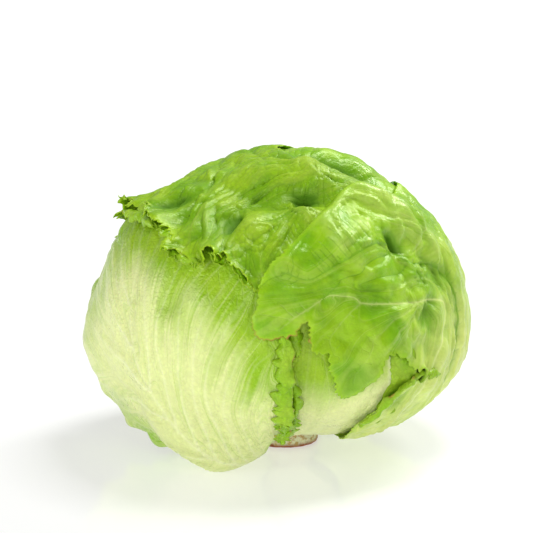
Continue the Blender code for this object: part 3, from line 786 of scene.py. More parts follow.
class Blade:
    """A leaf laid flat, on a plane that touches a sphere at the leaf's centre."""

    FOOT_POINTS = 6
    CURVE_STEPS = 6
    FOLD_STEP = 0.7 * MM
    FOLD_FADE = 5 * MM
    FOLD_REACH = 3  # times its width: it raises nothing further off
    FOLD_END = 0.35  # of its height, at its ends
    FLOW_SPACING = 1.5 * MM
    FLOW_POWER = 3
    FLOW_STEP = 0.12  # radians from one main vein to the next
    BEARING_SHARE = 0.25

    def __init__(self, plan: LeafPlan) -> None:
        """Works out the leaf's plane, its smooth edge and its map of depths."""
        self.plan = plan
        self.up = rays_to(*plan.centre)
        east = np.cross([0, 0, 1], self.up)
        self.east = east / np.linalg.norm(east)
        self.north = np.cross(self.up, self.east)
        foot_azimuths = np.linspace(plan.foot[1], plan.foot[0], self.FOOT_POINTS)
        foot = self.flatten(rays_to(foot_azimuths, BASE_ELEVATION))
        side = self.flat_places(plan.edge)
        side = smooth_line(np.concatenate([foot[-1:], side, foot[:1]]), self.CURVE_STEPS)
        line = np.concatenate([side[:-1], foot[:-1]])
        after = np.roll(line, -1, 0)
        turn = np.sum(line[:, 0] * after[:, 1] - line[:, 1] * after[:, 0])
        self.line = line if turn > 0 else line[::-1]
        self.foot = foot.mean(0)
        self.fan = self.flat_places((plan.fan,))[0]
        self.folds = [(fold, self.fold_line(fold)) for fold in plan.folds]
        self.make_map()

    def fold_line(self, fold: Fold) -> Array:
        """A fold's line on the leaf's plane, closely spaced."""
        line = smooth_line(self.flat_places(fold.places), self.CURVE_STEPS)
        return respaced(line, self.FOLD_STEP, closed=False)

    def folded(self, flat: Array) -> Array:
        """How far the folds raise or sink points of the plane. They fade out at their ends."""
        height = np.zeros(len(flat))
        for fold, line in self.folds:
            reach = self.FOLD_REACH * fold.width
            low, high = line.min(0) - reach, line.max(0) + reach
            near = np.flatnonzero(np.all((flat > low) & (flat < high), axis=1))
            gaps = np.linalg.norm(flat[near, None] - line[None], axis=2)
            place = gaps.argmin(1)
            ends = np.minimum(place, len(line) - 1 - place) * self.FOLD_STEP
            share = self.FOLD_END + (1 - self.FOLD_END) * smooth(ends / self.FOLD_FADE)
            height[near] += fold.height * share * hump(gaps.min(1) / fold.width)
        return height

    def flat_places(self, places: tuple[Place, ...]) -> Array:
        """Places, in degrees, as points of the leaf's plane."""
        return self.flatten(rays_to(*np.array(places, float).T))

    def flatten(self, rays: Array) -> Array:
        """Directions as points of the leaf's plane."""
        x, y, z = rays @ self.east, rays @ self.north, rays @ self.up
        length = np.maximum(np.hypot(x, y), TINY)
        scale = np.arctan2(length, z) / length * PLANE_RADIUS
        return np.stack([x * scale, y * scale], -1)

    def bend(self, points: Array) -> Array:
        """Points of the leaf's plane as directions."""
        length = np.maximum(np.linalg.norm(points, axis=-1), TINY)
        angle = length / PLANE_RADIUS
        across = (np.sin(angle) / length)[:, None] * points
        level = across[:, :1] * self.east + across[:, 1:] * self.north
        return level + np.cos(angle)[:, None] * self.up

    def make_map(self) -> None:
        """Maps how deep places of the plane lie inside the leaf, and where in the flow."""
        self.low = self.line.min(0) - COVER_FAR - 2 * MAP_STEP
        count = np.ceil((self.line.max(0) + COVER_FAR + 2 * MAP_STEP - self.low) / MAP_STEP)
        self.count = count.astype(int) + 1
        x, y = (self.low[k] + np.arange(self.count[k]) * MAP_STEP for k in (0, 1))
        grid = np.stack(np.meshgrid(x, y, indexing="ij"), -1).reshape(-1, 2)
        self.map = depth_inside(grid, self.line).reshape(self.count)
        if self.plan.flow:
            self.flow_map = self.flow_across(grid).reshape(self.count)

    def flow_across(self, flat: Array) -> Array:
        """Where points lie across the flow: a whole number on each main vein, in their order."""
        total, weights = np.zeros(len(flat)), np.zeros(len(flat))
        for order, index in enumerate(self.plan.flow):
            line = smooth_line(self.flat_places(self.plan.veins[index].places), self.CURVE_STEPS)
            line = respaced(line, self.FLOW_SPACING, closed=False)
            gaps = np.linalg.norm(flat[:, None] - line[None], axis=2).min(1)
            weight = (gaps + self.FLOW_SPACING) ** -self.FLOW_POWER
            total += weight * order
            weights += weight
        return total / weights

    def read(self, chart: Array, flat: Array) -> Array:
        """A map's values at points of the plane."""
        place = (flat - self.low) / MAP_STEP
        place = np.clip(place, 0, self.count - 1.001)
        low = place.astype(int)
        fx, fy = (place - low).T
        i, j = low.T
        near = chart[i, j] * (1 - fy) + chart[i, j + 1] * fy
        far = chart[i + 1, j] * (1 - fy) + chart[i + 1, j + 1] * fy
        return near * (1 - fx) + far * fx

    def depth(self, flat: Array) -> Array:
        """How far points of the plane lie inside the leaf."""
        return self.read(self.map, flat)

    def depth_at(self, rays: Array) -> Array:
        """How far directions lie inside the leaf."""
        return self.depth(self.flatten(rays))

    def cover(self, rays: Array) -> Array:
        """1 where something lies on this leaf, falling to 0 a little past its edge."""
        return 1 - smooth((-self.depth_at(rays) - COVER_NEAR) / (COVER_FAR - COVER_NEAR))

    def liveliness(self, rays: Array) -> Array:
        """How freely the leaf's edge moves: from 0 near its foot and where it is calm, to 1."""
        free = smooth((elevation_of(rays) - PLAIN_ELEVATION) / PLAIN_FADE)
        return free * np.clip(1 - rise(rays, self.plan.calm), 0, 1)

    def fan_coordinates(self, flat: Array) -> tuple[Array, Array]:
        """The bearing from the leaf's fan place, in radians, and the distance from it.

        On a leaf whose streaks follow its veins, the place across them takes the bearing's part.
        """
        away = flat - self.fan
        ahead = self.line.mean(0) - self.fan
        bearing = np.arctan2(away[:, 1], away[:, 0]) - math.atan2(ahead[1], ahead[0])
        bearing = (bearing + math.pi) % (2 * math.pi) - math.pi
        if self.plan.flow:
            across = self.FLOW_STEP * self.read(self.flow_map, flat)
            bearing = self.BEARING_SHARE * bearing + across
        return bearing, np.linalg.norm(away, axis=1)


class VeinNetwork:
    """A leaf's veins, grown out from its main ones until they feed every part of it."""

    STEP = 0.8 * MM
    KILL = 0.62  # of the spacing: a part this near a vein is fed
    REACH = 5.0  # of the spacing: veins don't feel parts further off
    ROUNDS = 160
    MOST_BRANCHES = 2
    FULL_LOAD = 900
    LEAST_SIZE = 0.06
    MOST_SIZE = 0.8  # of one that has grown
    MAIN_SIZE = 0.3
    STRAY = 0.12  # how far chance turns each step
    TONE_KEPT = 0.97  # from one step to the next
    TONE_LEFT = 0.5  # of a main vein's tone, at its end
    CURVE_STEPS = 6

    def __init__(self, blade: Blade, parts: Array, seed: int) -> None:
        """Lays the main veins, and grows the others.

        Args:
            blade: the leaf laid flat.
            parts: points of the plane that the veins have to feed.
            seed: for the order of chance.
        """
        self.blade = blade
        self.spacing = blade.plan.skin.vein_spacing
        self.chance = np.random.default_rng(seed)
        lines, parents, sizes, tones = [], [], [], []
        for vein in blade.plan.veins:
            line = smooth_line(blade.flat_places(vein.places), self.CURVE_STEPS)
            line = respaced(line, self.STEP, closed=False)
            first = sum(map(len, lines))
            lines.append(line)
            parents.append(np.array([-1, *range(first, first + len(line) - 1)]))
            sizes.append(np.linspace(vein.start, vein.end, len(line)))
            tones.append(np.linspace(vein.tone, self.TONE_LEFT * vein.tone, len(line)))
        self.points = np.concatenate(lines)
        self.parents = np.concatenate(parents)
        self.sizes = np.concatenate(sizes)
        self.tones = np.concatenate(tones)
        self.grow(parts)
        self.weigh()
        self.tree = PointTree(self.points)
        main = self.sizes > self.MAIN_SIZE
        self.main_sizes = self.sizes[main]
        self.main_tree = PointTree(self.points[main])

    def lengths(self, vectors: Array) -> Array:
        """The vectors' lengths, as a column, none of them 0."""
        return np.linalg.norm(vectors, axis=1)[:, None] + TINY

    def grow(self, parts: Array) -> None:
        """Grows veins towards the unfed parts, step by step."""
        tree = PointTree(self.points)
        nearest, distance = tree.nearest(parts)
        branches = np.zeros(len(self.points), int)
        for _ in range(self.ROUNDS):
            keep = distance > self.KILL * self.spacing
            parts, nearest, distance = parts[keep], nearest[keep], distance[keep]
            felt = distance < self.REACH * self.spacing
            felt &= branches[nearest] < self.MOST_BRANCHES
            if not felt.any():
                break
            towards = (parts[felt] - self.points[nearest[felt]]) / distance[felt][:, None]
            pull = np.zeros_like(self.points)
            np.add.at(pull, nearest[felt], towards)
            growing = np.unique(nearest[felt])
            ways = pull[growing] / self.lengths(pull[growing])
            fan = self.points[growing] - self.blade.fan
            ways += self.blade.plan.skin.pull * fan / self.lengths(fan)
            ways += self.chance.normal(0, self.STRAY, ways.shape)
            ways /= self.lengths(ways)
            made = self.points[growing] + self.STEP * ways
            first = len(self.points)
            self.points = np.concatenate([self.points, made])
            self.parents = np.concatenate([self.parents, growing])
            self.sizes = np.concatenate([self.sizes, np.zeros(len(made))])
            self.tones = np.concatenate([self.tones, self.TONE_KEPT * self.tones[growing]])
            branches[growing] += 1
            branches = np.concatenate([branches, np.zeros(len(made), int)])
            gaps = np.linalg.norm(parts[:, None] - made[None], axis=2)
            best = gaps.argmin(1)
            nearer = gaps.min(1) < distance
            nearest = np.where(nearer, first + best, nearest)
            distance = np.minimum(distance, gaps.min(1))

    def weigh(self) -> None:
        """Sizes each vein by how much grows from it."""
        load = np.ones(len(self.points))
        for child in range(len(self.points) - 1, -1, -1):
            if self.parents[child] >= 0:
                load[self.parents[child]] += load[child]
        grown = np.clip(np.sqrt(load / self.FULL_LOAD), self.LEAST_SIZE, self.MOST_SIZE)
        self.sizes = np.maximum(self.sizes, grown)

    def near(self, flat: Array) -> tuple[Array, Array, Array]:
        """The distance to the nearest vein, its size and its tone."""
        index, distance = self.tree.nearest(flat)
        return distance, self.sizes[index], self.tones[index]

    def near_main(self, flat: Array) -> tuple[Array, Array]:
        """The distance to the nearest main vein, and its size."""
        index, distance = self.main_tree.nearest(flat)
        return distance, self.main_sizes[index]


class Head:
    """All the leaves in their layers, and the relief that they share where they lie together."""

    DENT_DEPTH = 1.4  # of what the plans say
    VALLEY_WIDTH = 2.0 * MM
    RIB_WIDTH = 0.75 * MM
    SMALL_WIDTH = 1.0 * MM
    BLISTER_WIDTH = 6.5 * MM
    WIDE_BLISTER = 2.2  # of that width
    WIDE_BLISTER_HEIGHT = 1.2  # of a blister's height
    WRINKLE_REACH = 60 * MM  # from the fan's place, where wrinkles have their full width
    WRINKLE_START = 30 * MM  # from the fan's place, where they have their full height
    CREASE_SHARPNESS = 0.03
    OCTAVE_POWER = 1.3
    WIDE_SEED = 9
    SWAY_SEED = 5.5
    FRILL_SEED = 3.3
    SWAY_LENGTH = 16 * MM
    SWAY = 0.9
    FRILL_LENGTH = 8 * MM
    FRILL_DEPTH = 9 * MM
    FRILL_MIDDLE = 0.35  # of its height
    FRILL_SWING = 1.3
    FRILL_LOWEST = -0.2
    WAVE_SWAY = 0.4
    FED_DEPTH = 0.5 * MM  # veins feed a leaf's parts from this far inside its edge
    UNEVEN_PARTS = 0.25  # of their spacing
    SEEN_WEIGHT = 0.001  # a leaf's relief that counts for less is left out

    def __init__(self, plans: tuple[LeafPlan, ...]) -> None:
        """Lays out every leaf and grows its veins."""
        self.blades = [Blade(plan) for plan in plans]
        self.networks: list[VeinNetwork] = []
        for index, blade in enumerate(self.blades):
            spacing = blade.plan.skin.vein_spacing
            parts = hexagonal(blade.line.min(0), blade.line.max(0), spacing)
            chance = np.random.default_rng(index)
            parts += chance.normal(0, self.UNEVEN_PARTS * spacing, parts.shape)
            parts = parts[blade.depth(parts) > self.FED_DEPTH]
            shown = self.hidden_depth(index, blade.bend(parts)) < HIDDEN_DEPTH
            self.networks.append(VeinNetwork(blade, parts[shown], index))

    def hidden_depth(self, index: int, rays: Array) -> Array:
        """How far these directions lie under the leaves that lie on one leaf."""
        depth = np.full(len(rays), -1.0)
        for above in self.blades[index + 1 :]:
            depth = np.maximum(depth, above.depth_at(rays))
        return depth

    def own_relief(self, index: int, rays: Array) -> Array:
        """The relief of one leaf's surface along these directions."""
        blade, network = self.blades[index], self.networks[index]
        skin = blade.plan.skin
        flat = blade.flatten(rays)
        distance = network.near(flat)[0]
        main_distance, main_size = network.near_main(flat)
        height = self.DENT_DEPTH * rise(rays, blade.plan.dents) + blade.folded(flat)
        height -= skin.valley * main_size * hump(main_distance / self.VALLEY_WIDTH)
        height += skin.rib * main_size * hump(main_distance / (self.RIB_WIDTH * (1 + main_size)))
        height -= skin.pucker * hump(distance / self.SMALL_WIDTH)
        height += skin.wrinkle * self.wrinkles(index, flat)
        height += skin.blister * noise_over(flat, self.BLISTER_WIDTH, index)
        wide = noise_over(flat, self.WIDE_BLISTER * self.BLISTER_WIDTH, index + self.WIDE_SEED)
        return height + self.WIDE_BLISTER_HEIGHT * skin.blister * wide

    def wrinkles(self, index: int, flat: Array) -> Array:
        """Round-backed folds with sharp creases, which run out from a leaf's fan place."""
        blade = self.blades[index]
        skin = blade.plan.skin
        bearing, away = blade.fan_coordinates(flat)
        sway = self.SWAY * noise_over(flat, self.SWAY_LENGTH, index + self.SWAY_SEED)
        across = bearing * self.WRINKLE_REACH / skin.wrinkle_width + sway
        along = away / skin.wrinkle_length + sway
        total = np.full(len(flat), -0.5)
        for octave in (1, 2):
            folds = noise_at(octave * across, octave * along, index + octave / 3)
            backs = 2 * np.sqrt(folds**2 + self.CREASE_SHARPNESS**2)
            total += backs / octave**self.OCTAVE_POWER
        return total * smooth(away / self.WRINKLE_START)

    def relief(self, rays: Array) -> Array:
        """The shared relief: that of whichever leaf lies outermost, blended at the edges."""
        left = np.ones(len(rays))
        total = np.zeros(len(rays))
        for index in range(len(self.blades) - 1, -1, -1):
            inside = smooth(self.blades[index].depth_at(rays) / (2 * BLEND_DEPTH) + 0.5)
            weight = left * inside
            left = left * (1 - inside)
            seen = weight > self.SEEN_WEIGHT
            if seen.any():
                total[seen] += weight[seen] * self.own_relief(index, rays[seen])
        return total

    def radius(self, index: int, rays: Array) -> Array:
        """How far the middle of one leaf is from the head's centre, without its edge's waves."""
        radius = heart_radius(rays) + HEART_RELIEF + LAYER_PITCH
        radius += rise(rays, self.blades[index].plan.swells)
        for under in self.blades[:index]:
            radius += under.cover(rays) * (LAYER_PITCH + rise(rays, under.plan.swells))
        return radius + self.relief(rays)

    def freedom(self, index: int, rays: Array) -> Array:
        """1 where a leaf's edge is free to wave, 0 near its foot and under other leaves."""
        free = self.blades[index].liveliness(rays)
        for above in self.blades[index + 1 :]:
            free *= 1 - above.cover(rays)
        return free

    def ruffle(self, index: int, flat: Array, rays: Array, depth: Array) -> Array:
        """The outward waves along a leaf's free edge, long ones and a finer frill."""
        plan = self.blades[index].plan
        turn = 2 * math.pi / plan.wave
        bearing = np.arctan2(flat[:, 1], flat[:, 0])
        distance = np.linalg.norm(flat, axis=1)
        sway = self.WAVE_SWAY * np.sin(turn * distance)
        waves = 0.5 + 0.5 * np.sin(turn * bearing * PLANE_RADIUS + sway)
        height = plan.ruffle * waves * (1 - smooth(depth / RUFFLE_DEPTH))
        swing = self.FRILL_SWING * noise_over(flat, self.FRILL_LENGTH, index + self.FRILL_SEED)
        frill = np.clip(self.FRILL_MIDDLE + swing, self.FRILL_LOWEST, 1)
        height += plan.skin.frill * frill * (1 - smooth(depth / self.FRILL_DEPTH))
        return height * self.freedom(index, rays)


class Cut:
    """The line that a leaf's edge is cut along: lobes, with teeth on them."""

    TOOTH_SPACING = (1.6 * MM, 4.6 * MM)
    LOBE_LENGTH = 9 * MM
    LOBE_SEED = 0.7
    SHARPNESS = 0.8
    TOOTH_FOOT = 0.35  # of a tooth's height lies inside the smooth edge

    def __init__(self, head: Head, index: int) -> None:
        """Works the line out round the whole leaf."""
        blade = head.blades[index]
        skin = blade.plan.skin
        line = respaced(blade.line, CUT_SPACING, closed=True)
        rays = blade.bend(line)
        free = blade.liveliness(rays)
        along = np.arange(len(line)) * CUT_SPACING
        lobes = noise_at(along / self.LOBE_LENGTH, 0 * along, index + self.LOBE_SEED)
        teeth = uneven_teeth(along, index, self.TOOTH_SPACING, self.SHARPNESS)
        out = skin.lobe * lobes + skin.tooth * (teeth - self.TOOTH_FOOT)
        self.line = line + outward(line) * (out * free)[:, None]
        self.normals = outward(self.line)


# The lowest and the highest tooth, and how far along itself each has its tip
TOOTH_HEIGHTS = (0.25, 1.0)
TOOTH_TIPS = (0.35, 0.65)
TOOTH_SEED = 40


def uneven_teeth(
    along: Array, seed: int, widths: tuple[float, float], sharpness: float
) -> Array:
    """How far teeth stand out along a line, from 0 to 1.

    Args:
        along: distances along the line.
        seed: for the order of chance.
        widths: the narrowest tooth and the widest.
        sharpness: of the teeth. Below 1 they are round, with narrow gaps.

    Returns:
        The height at each distance.
    """
    chance = np.random.default_rng(seed + TOOTH_SEED)
    starts = np.cumsum(chance.uniform(*widths, len(along)))
    starts = np.concatenate([[0], starts[starts < along[-1]], [along[-1] + widths[0]]])
    heights = chance.uniform(*TOOTH_HEIGHTS, len(starts))
    tips = chance.uniform(*TOOTH_TIPS, len(starts))
    tooth = np.clip(np.searchsorted(starts, along, side="right") - 1, 0, len(starts) - 2)
    share = (along - starts[tooth]) / (starts[tooth + 1] - starts[tooth])
    tip = tips[tooth]
    ramp = np.where(share < tip, share / tip, (1 - share) / (1 - tip))
    return heights[tooth] * smooth(ramp) ** sharpness


class Piece:
    """A visible piece of the head: its mesh, its finish and what it stands for."""

    def __init__(self, name: str, points: Array, faces: list, values: dict[str, Array]) -> None:
        """Makes the object.

        Args:
            name: the piece's name.
            points: in metres, in the part's own frame.
            faces: each a tuple of point indices.
            values: what the finish reads at each point, by attribute name.
        """
        mesh = bpy.data.meshes.new(name)
        mesh.from_pydata(points.tolist(), [], faces)
        for key, numbers in values.items():
            kind = "FLOAT" if numbers.ndim == 1 else "FLOAT_VECTOR"
            attribute = mesh.attributes.new(key, kind, "POINT")
            field_name = "value" if numbers.ndim == 1 else "vector"
            attribute.data.foreach_set(field_name, numbers.astype(np.float32).ravel())
        mesh.shade_smooth()
        self.object = bpy.data.objects.new(name, mesh)
        bpy.context.scene.collection.objects.link(self.object)
        self.triangles = sum(len(face) - 2 for face in faces)

    def dress(self, material: bpy.types.Material, slot: str, stands_for: str | None) -> None:
        """Gives the piece its finish, hangs it on the body, and hides the solid that it stands for.
        """
        self.object.data.materials.append(material)
        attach(self.object, BODY)
        if stands_for:
            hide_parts(stands_for)
        log.info("%s: %d triangles", self.object.name, self.triangles)


def point_normals(points: Array, triangles: Array) -> Array:
    """Unit normals at the points of a mesh, by the areas of the triangles round each."""
    a, b, c = (points[triangles[:, k]] for k in range(3))
    faces = np.cross(b - a, c - a)
    total = np.zeros_like(points)
    for corner in range(3):
        np.add.at(total, triangles[:, corner], faces)
    return total / (np.linalg.norm(total, axis=1)[:, None] + TINY_AREA)


def on_both_sides(values: dict[str, Array]) -> dict[str, Array]:
    """The values of a surface's points, again for the inner side of the solid round it."""
    return {key: np.concatenate([numbers, numbers]) for key, numbers in values.items()}


def thickened(
    middle: Array, triangles: Array, thickness: Array
) -> tuple[Array, list[tuple[int, ...]]]:
    """A closed thin solid round a surface.

    Args:
        middle: the surface's points.
        triangles: its triangles, anticlockwise seen from outside.
        thickness: the solid's thickness at each point.

    Returns:
        The solid's points, outer ones first, and its faces.
    """
    half = point_normals(middle, triangles) * thickness[:, None] / 2
    count = len(middle)
    edges = np.concatenate([triangles[:, [0, 1]], triangles[:, [1, 2]], triangles[:, [2, 0]]])
    keys = edges[:, 0].astype(np.int64) * count + edges[:, 1]
    mirrored = edges[:, 1].astype(np.int64) * count + edges[:, 0]
    rim = edges[~np.isin(keys, mirrored)]
    faces = [tuple(f) for f in triangles.tolist()]
    faces += [tuple(f) for f in (triangles[:, ::-1] + count).tolist()]
    faces += [(b, a, a + count, b + count) for a, b in rim.tolist()]
    return np.concatenate([middle + half, middle - half]), faces


class Leaf:
    """One leaf of the head, from its flat cut to its finished piece."""

    STREAM = 100  # millimetres from the fan's place, where the finish's streaks have true width
    EDGE_ROOM = 0.6  # of the cut's spacing, kept clear of points inside it
    COARSE_ROOM = 0.6  # of the coarse spacing, between coarse points and fine ones
    TOOTH_REACH = 4 * MM  # teeth and lobes stand out no further past the smooth edge
    SAME_POINT = 1e-8
    ON_EDGE = 0.2 * MM
    CURL_FULL = 0.5  # of its reach, where a curl is whole
    CURL_FADE = 0.8
    NO_TURN = 1e-6
    VEIN_FAR = 5  # millimetres: the finish is told of no vein further off
    EDGE_FAR = 20  # nor of an edge further off than this

    def __init__(self, head: Head, index: int) -> None:
        """Says which leaf of the head this is."""
        self.head = head
        self.index = index
        self.blade = head.blades[index]
        self.network = head.networks[index]

    def covered(self, flat: Array) -> Array:
        """How far points of the plane lie under the leaves on this one."""
        return self.head.hidden_depth(self.index, self.blade.bend(flat))

    def flat_mesh(self) -> tuple[Array, Array, Cut]:
        """The leaf's flat points and triangles, and its cut edge."""
        cut = Cut(self.head, self.index)
        low, high = cut.line.min(0), cut.line.max(0)
        veins = self.network.points[self.network.sizes > VeinNetwork.LEAST_SIZE]
        veins = veins[self.blade.depth(veins) > -self.TOOTH_REACH]
        fine = hexagonal(low, high, FINE_SPACING)
        fine = fine[self.blade.depth(fine) > -self.TOOTH_REACH]
        fine = fine[self.covered(fine) < HIDDEN_DEPTH]
        fine = fine[self.network.near(fine)[0] > VEIN_ROOM]
        coarse = hexagonal(low, high, COARSE_SPACING)
        coarse = coarse[self.covered(coarse) > HIDDEN_DEPTH + self.COARSE_ROOM * COARSE_SPACING]
        inner = np.concatenate([thinned(veins, VEIN_ROOM), fine, coarse])
        inner = inner[PointTree(cut.line).nearest(inner)[1] > self.EDGE_ROOM * CUT_SPACING]
        points = np.concatenate([cut.line, inner])
        count = len(cut.line)
        edges = [(k, (k + 1) % count) for k in range(count)]
        corners = [Vector(p) for p in points.tolist()]
        made = delaunay_2d_cdt(corners, edges, [], 1, self.SAME_POINT)
        return np.array([tuple(p) for p in made[0]]), np.array(made[2]), cut

    def curled(
        self, flat: Array, rays: Array, depth: Array, inward: Array
    ) -> tuple[Array, Array]:
        """Rolls the stretches of the free edge that curl.

        Args:
            flat: the leaf's flat points.
            rays: the same as directions.
            depth: how far each lies inside the cut edge.
            inward: unit vectors from the nearest edge to each point.

        Returns:
            The moved flat points, and how far each is lifted.
        """
        moved, lift = flat.copy(), np.zeros(len(flat))
        for curl in self.blade.plan.curls:
            share = angles_from(rays, curl.place) / curl.reach
            share = 1 - smooth((share - self.CURL_FULL) / self.CURL_FADE)
            past = np.clip(curl.depth - depth, 0, None)
            radius = curl.depth / math.radians(curl.turn)
            angle = past / radius * share
            turns = angle > self.NO_TURN
            drawn = past - np.where(turns, past * np.sinc(angle / math.pi), past)
            moved += inward * drawn[:, None]
            rise_by = past * (1 - np.cos(angle)) / np.maximum(angle, self.NO_TURN)
            lift += np.where(turns, rise_by, 0)
        return moved, lift

    def build(self) -> Piece:
        """The leaf's mesh, in its place on the head, with the values that its finish reads."""
        head, index, blade = self.head, self.index, self.blade
        flat, triangles, cut = self.flat_mesh()
        nearest, depth = PointTree(cut.line).nearest(flat)
        inward = (flat - cut.line[nearest]) / np.maximum(depth, TINY)[:, None]
        on_edge = depth < self.ON_EDGE
        inward[on_edge] = -cut.normals[nearest[on_edge]]
        rays = blade.bend(flat)
        radius = head.radius(index, rays) + head.ruffle(index, flat, rays, depth)
        moved, lift = self.curled(flat, rays, depth, inward)
        middle = blade.bend(moved) * (radius + lift)[:, None]
        lowest = LEAF_THICKNESS / 2 - CENTRE_HEIGHT
        middle[:, 2] = np.maximum(middle[:, 2], lowest)
        taper = smooth(depth / TAPER_DEPTH)
        thickness = EDGE_THICKNESS + (MIDDLE_THICKNESS - EDGE_THICKNESS) * taper
        points, faces = thickened(middle, triangles, thickness)
        points[:, 2] += CENTRE_HEIGHT
        values = on_both_sides(self.values(flat, rays, depth))
        return Piece(f"{blade.plan.name}_fine", points, faces, values)

    def values(self, flat: Array, rays: Array, depth: Array) -> dict[str, Array]:
        """What the finish reads at each point."""
        plan = self.blade.plan
        distance, size, tone = self.network.near(flat)
        bearing, away = self.blade.fan_coordinates(flat)
        from_foot = np.linalg.norm(flat - self.blade.foot, axis=1)
        near, far = plan.pale
        pale = 1 - smooth((from_foot - near) / (far - near)) + rise(rays, plan.pallors)
        fan = np.stack([bearing * self.STREAM, away / MM, np.full(len(flat), self.index)], -1)
        return {
            "vein": np.minimum(distance / MM, self.VEIN_FAR),
            "size": size,
            "tone": tone,
            "pale": np.clip(pale, 0, 1),
            "edge": np.minimum(depth / MM, self.EDGE_FAR),
            # The relief, crest and hollow included, by which the finish paints shade into dips and
            # highlight onto ridges
            "fold": (self.head.own_relief(self.index, rays) + rise(rays, CREST_SWELLS)) / MM,
            "brown": np.clip(rise(rays, plan.browned), 0, 1),
            "fan": fan,
        }


def thinned(points: Array, spacing: float) -> Array:
    """The points without those that crowd each other, at most one in each square of a grid."""
    cells = np.round(points / spacing).astype(np.int64)
    _, first = np.unique(cells, axis=0, return_index=True)
    return points[np.sort(first)]


class FoldedStrip:
    """A ribbon of leaf, from its place on a leaf to its finished piece."""

    STEP = 0.5 * MM
    COLUMNS = 14
    TOOTH_SPACING = (1.6 * MM, 8.0 * MM)
    SHARPNESS = 0.4
    END_LENGTH = 4 * MM
    END_WIDTH = 0.25  # of its width
    UNEVEN_WIDTH = 0.5  # how far chance widens and narrows it
    UNEVEN_LENGTH = 7 * MM
    WAVE_LENGTH = 4 * MM
    MIDDLE_WAVE = 0.3  # of its waves' height, on its middle line
    BROWNING = 0.2
    THICKNESS = 0.5 * MM

    def __init__(self, head: Head, ribbon: Ribbon) -> None:
        """Finds the leaf that the ribbon lies on."""
        self.head = head
        self.ribbon = ribbon
        names = [blade.plan.name for blade in head.blades]
        self.index = names.index(ribbon.on)

    def build(self) -> Piece:
        """The ribbon's mesh, in its place on the head."""
        ribbon, blade = self.ribbon, self.head.blades[self.index]
        line = smooth_line(blade.flat_places(ribbon.middle), VeinNetwork.CURVE_STEPS)
        line = respaced(line, self.STEP, closed=False)
        ways = unit_length(np.gradient(line, axis=0))
        right = np.stack([-ways[:, 1], ways[:, 0]], -1)
        along = np.arange(len(line)) * self.STEP
        ends = np.minimum(along, along[-1] - along)
        seed = sum(map(ord, ribbon.name))
        taper = self.END_WIDTH + (1 - self.END_WIDTH) * smooth(ends / self.END_LENGTH)
        uneven = noise_at(along / self.UNEVEN_LENGTH, 0 * along, seed)
        taper *= 1 + self.UNEVEN_WIDTH * uneven
        sides = []
        for side, depth in enumerate(ribbon.teeth):
            teeth = uneven_teeth(along, seed + side, self.TOOTH_SPACING, self.SHARPNESS)
            sides.append(taper * (ribbon.half_width + depth * (teeth - 0.5)))
        share = np.linspace(-1, 1, self.COLUMNS + 1)
        reach = np.where(share < 0, sides[0][:, None] * share, sides[1][:, None] * share)
        flat = (line[:, None] + right[:, None] * reach[:, :, None]).reshape(-1, 2)
        left, middle, far = ribbon.lift
        lift = middle + (np.where(share < 0, left, far) - middle) * share**2
        waves = noise_over(flat, self.WAVE_LENGTH, seed).reshape(len(line), -1)
        lift = lift[None] + ribbon.wave * waves * (self.MIDDLE_WAVE + np.abs(share))[None]
        rays = blade.bend(flat)
        surface = rays * (self.head.radius(self.index, rays) + lift.ravel())[:, None]
        triangles = grid_triangles(len(line), len(share))
        points, faces = thickened(surface, triangles, np.full(len(flat), self.THICKNESS))
        points[:, 2] = np.maximum(points[:, 2] + CENTRE_HEIGHT, 0)
        edge = (1 - np.abs(share))[None] * ribbon.half_width / MM + 0 * reach
        edge = np.minimum(edge, ends[:, None] / MM).ravel()
        fan = [reach.ravel() / MM, np.repeat(along, len(share)) / MM, 0 * edge]
        values = dict.fromkeys(("size", "tone", "pale"), np.zeros(len(flat))) | {
            "vein": np.full(len(flat), float(Leaf.VEIN_FAR)),
            "edge": edge,
            # Its waves' height, by which the finish paints shade in their troughs and highlight on
            # their crests
            "fold": (2 * waves * np.abs(share)[None]).ravel(),
            "brown": np.full(len(flat), self.BROWNING),
            "fan": np.stack(fan, -1),
        }
        return Piece(ribbon.name, points, faces, on_both_sides(values))


def grid_triangles(rows: int, columns: int) -> Array:
    """The triangles of a surface whose points run row by row."""
    corner = (np.arange(rows - 1)[:, None] * columns + np.arange(columns - 1)[None]).ravel()
    first = np.stack([corner, corner + columns, corner + columns + 1], -1)
    second = np.stack([corner, corner + columns + 1, corner + 1], -1)
    return np.concatenate([first, second])


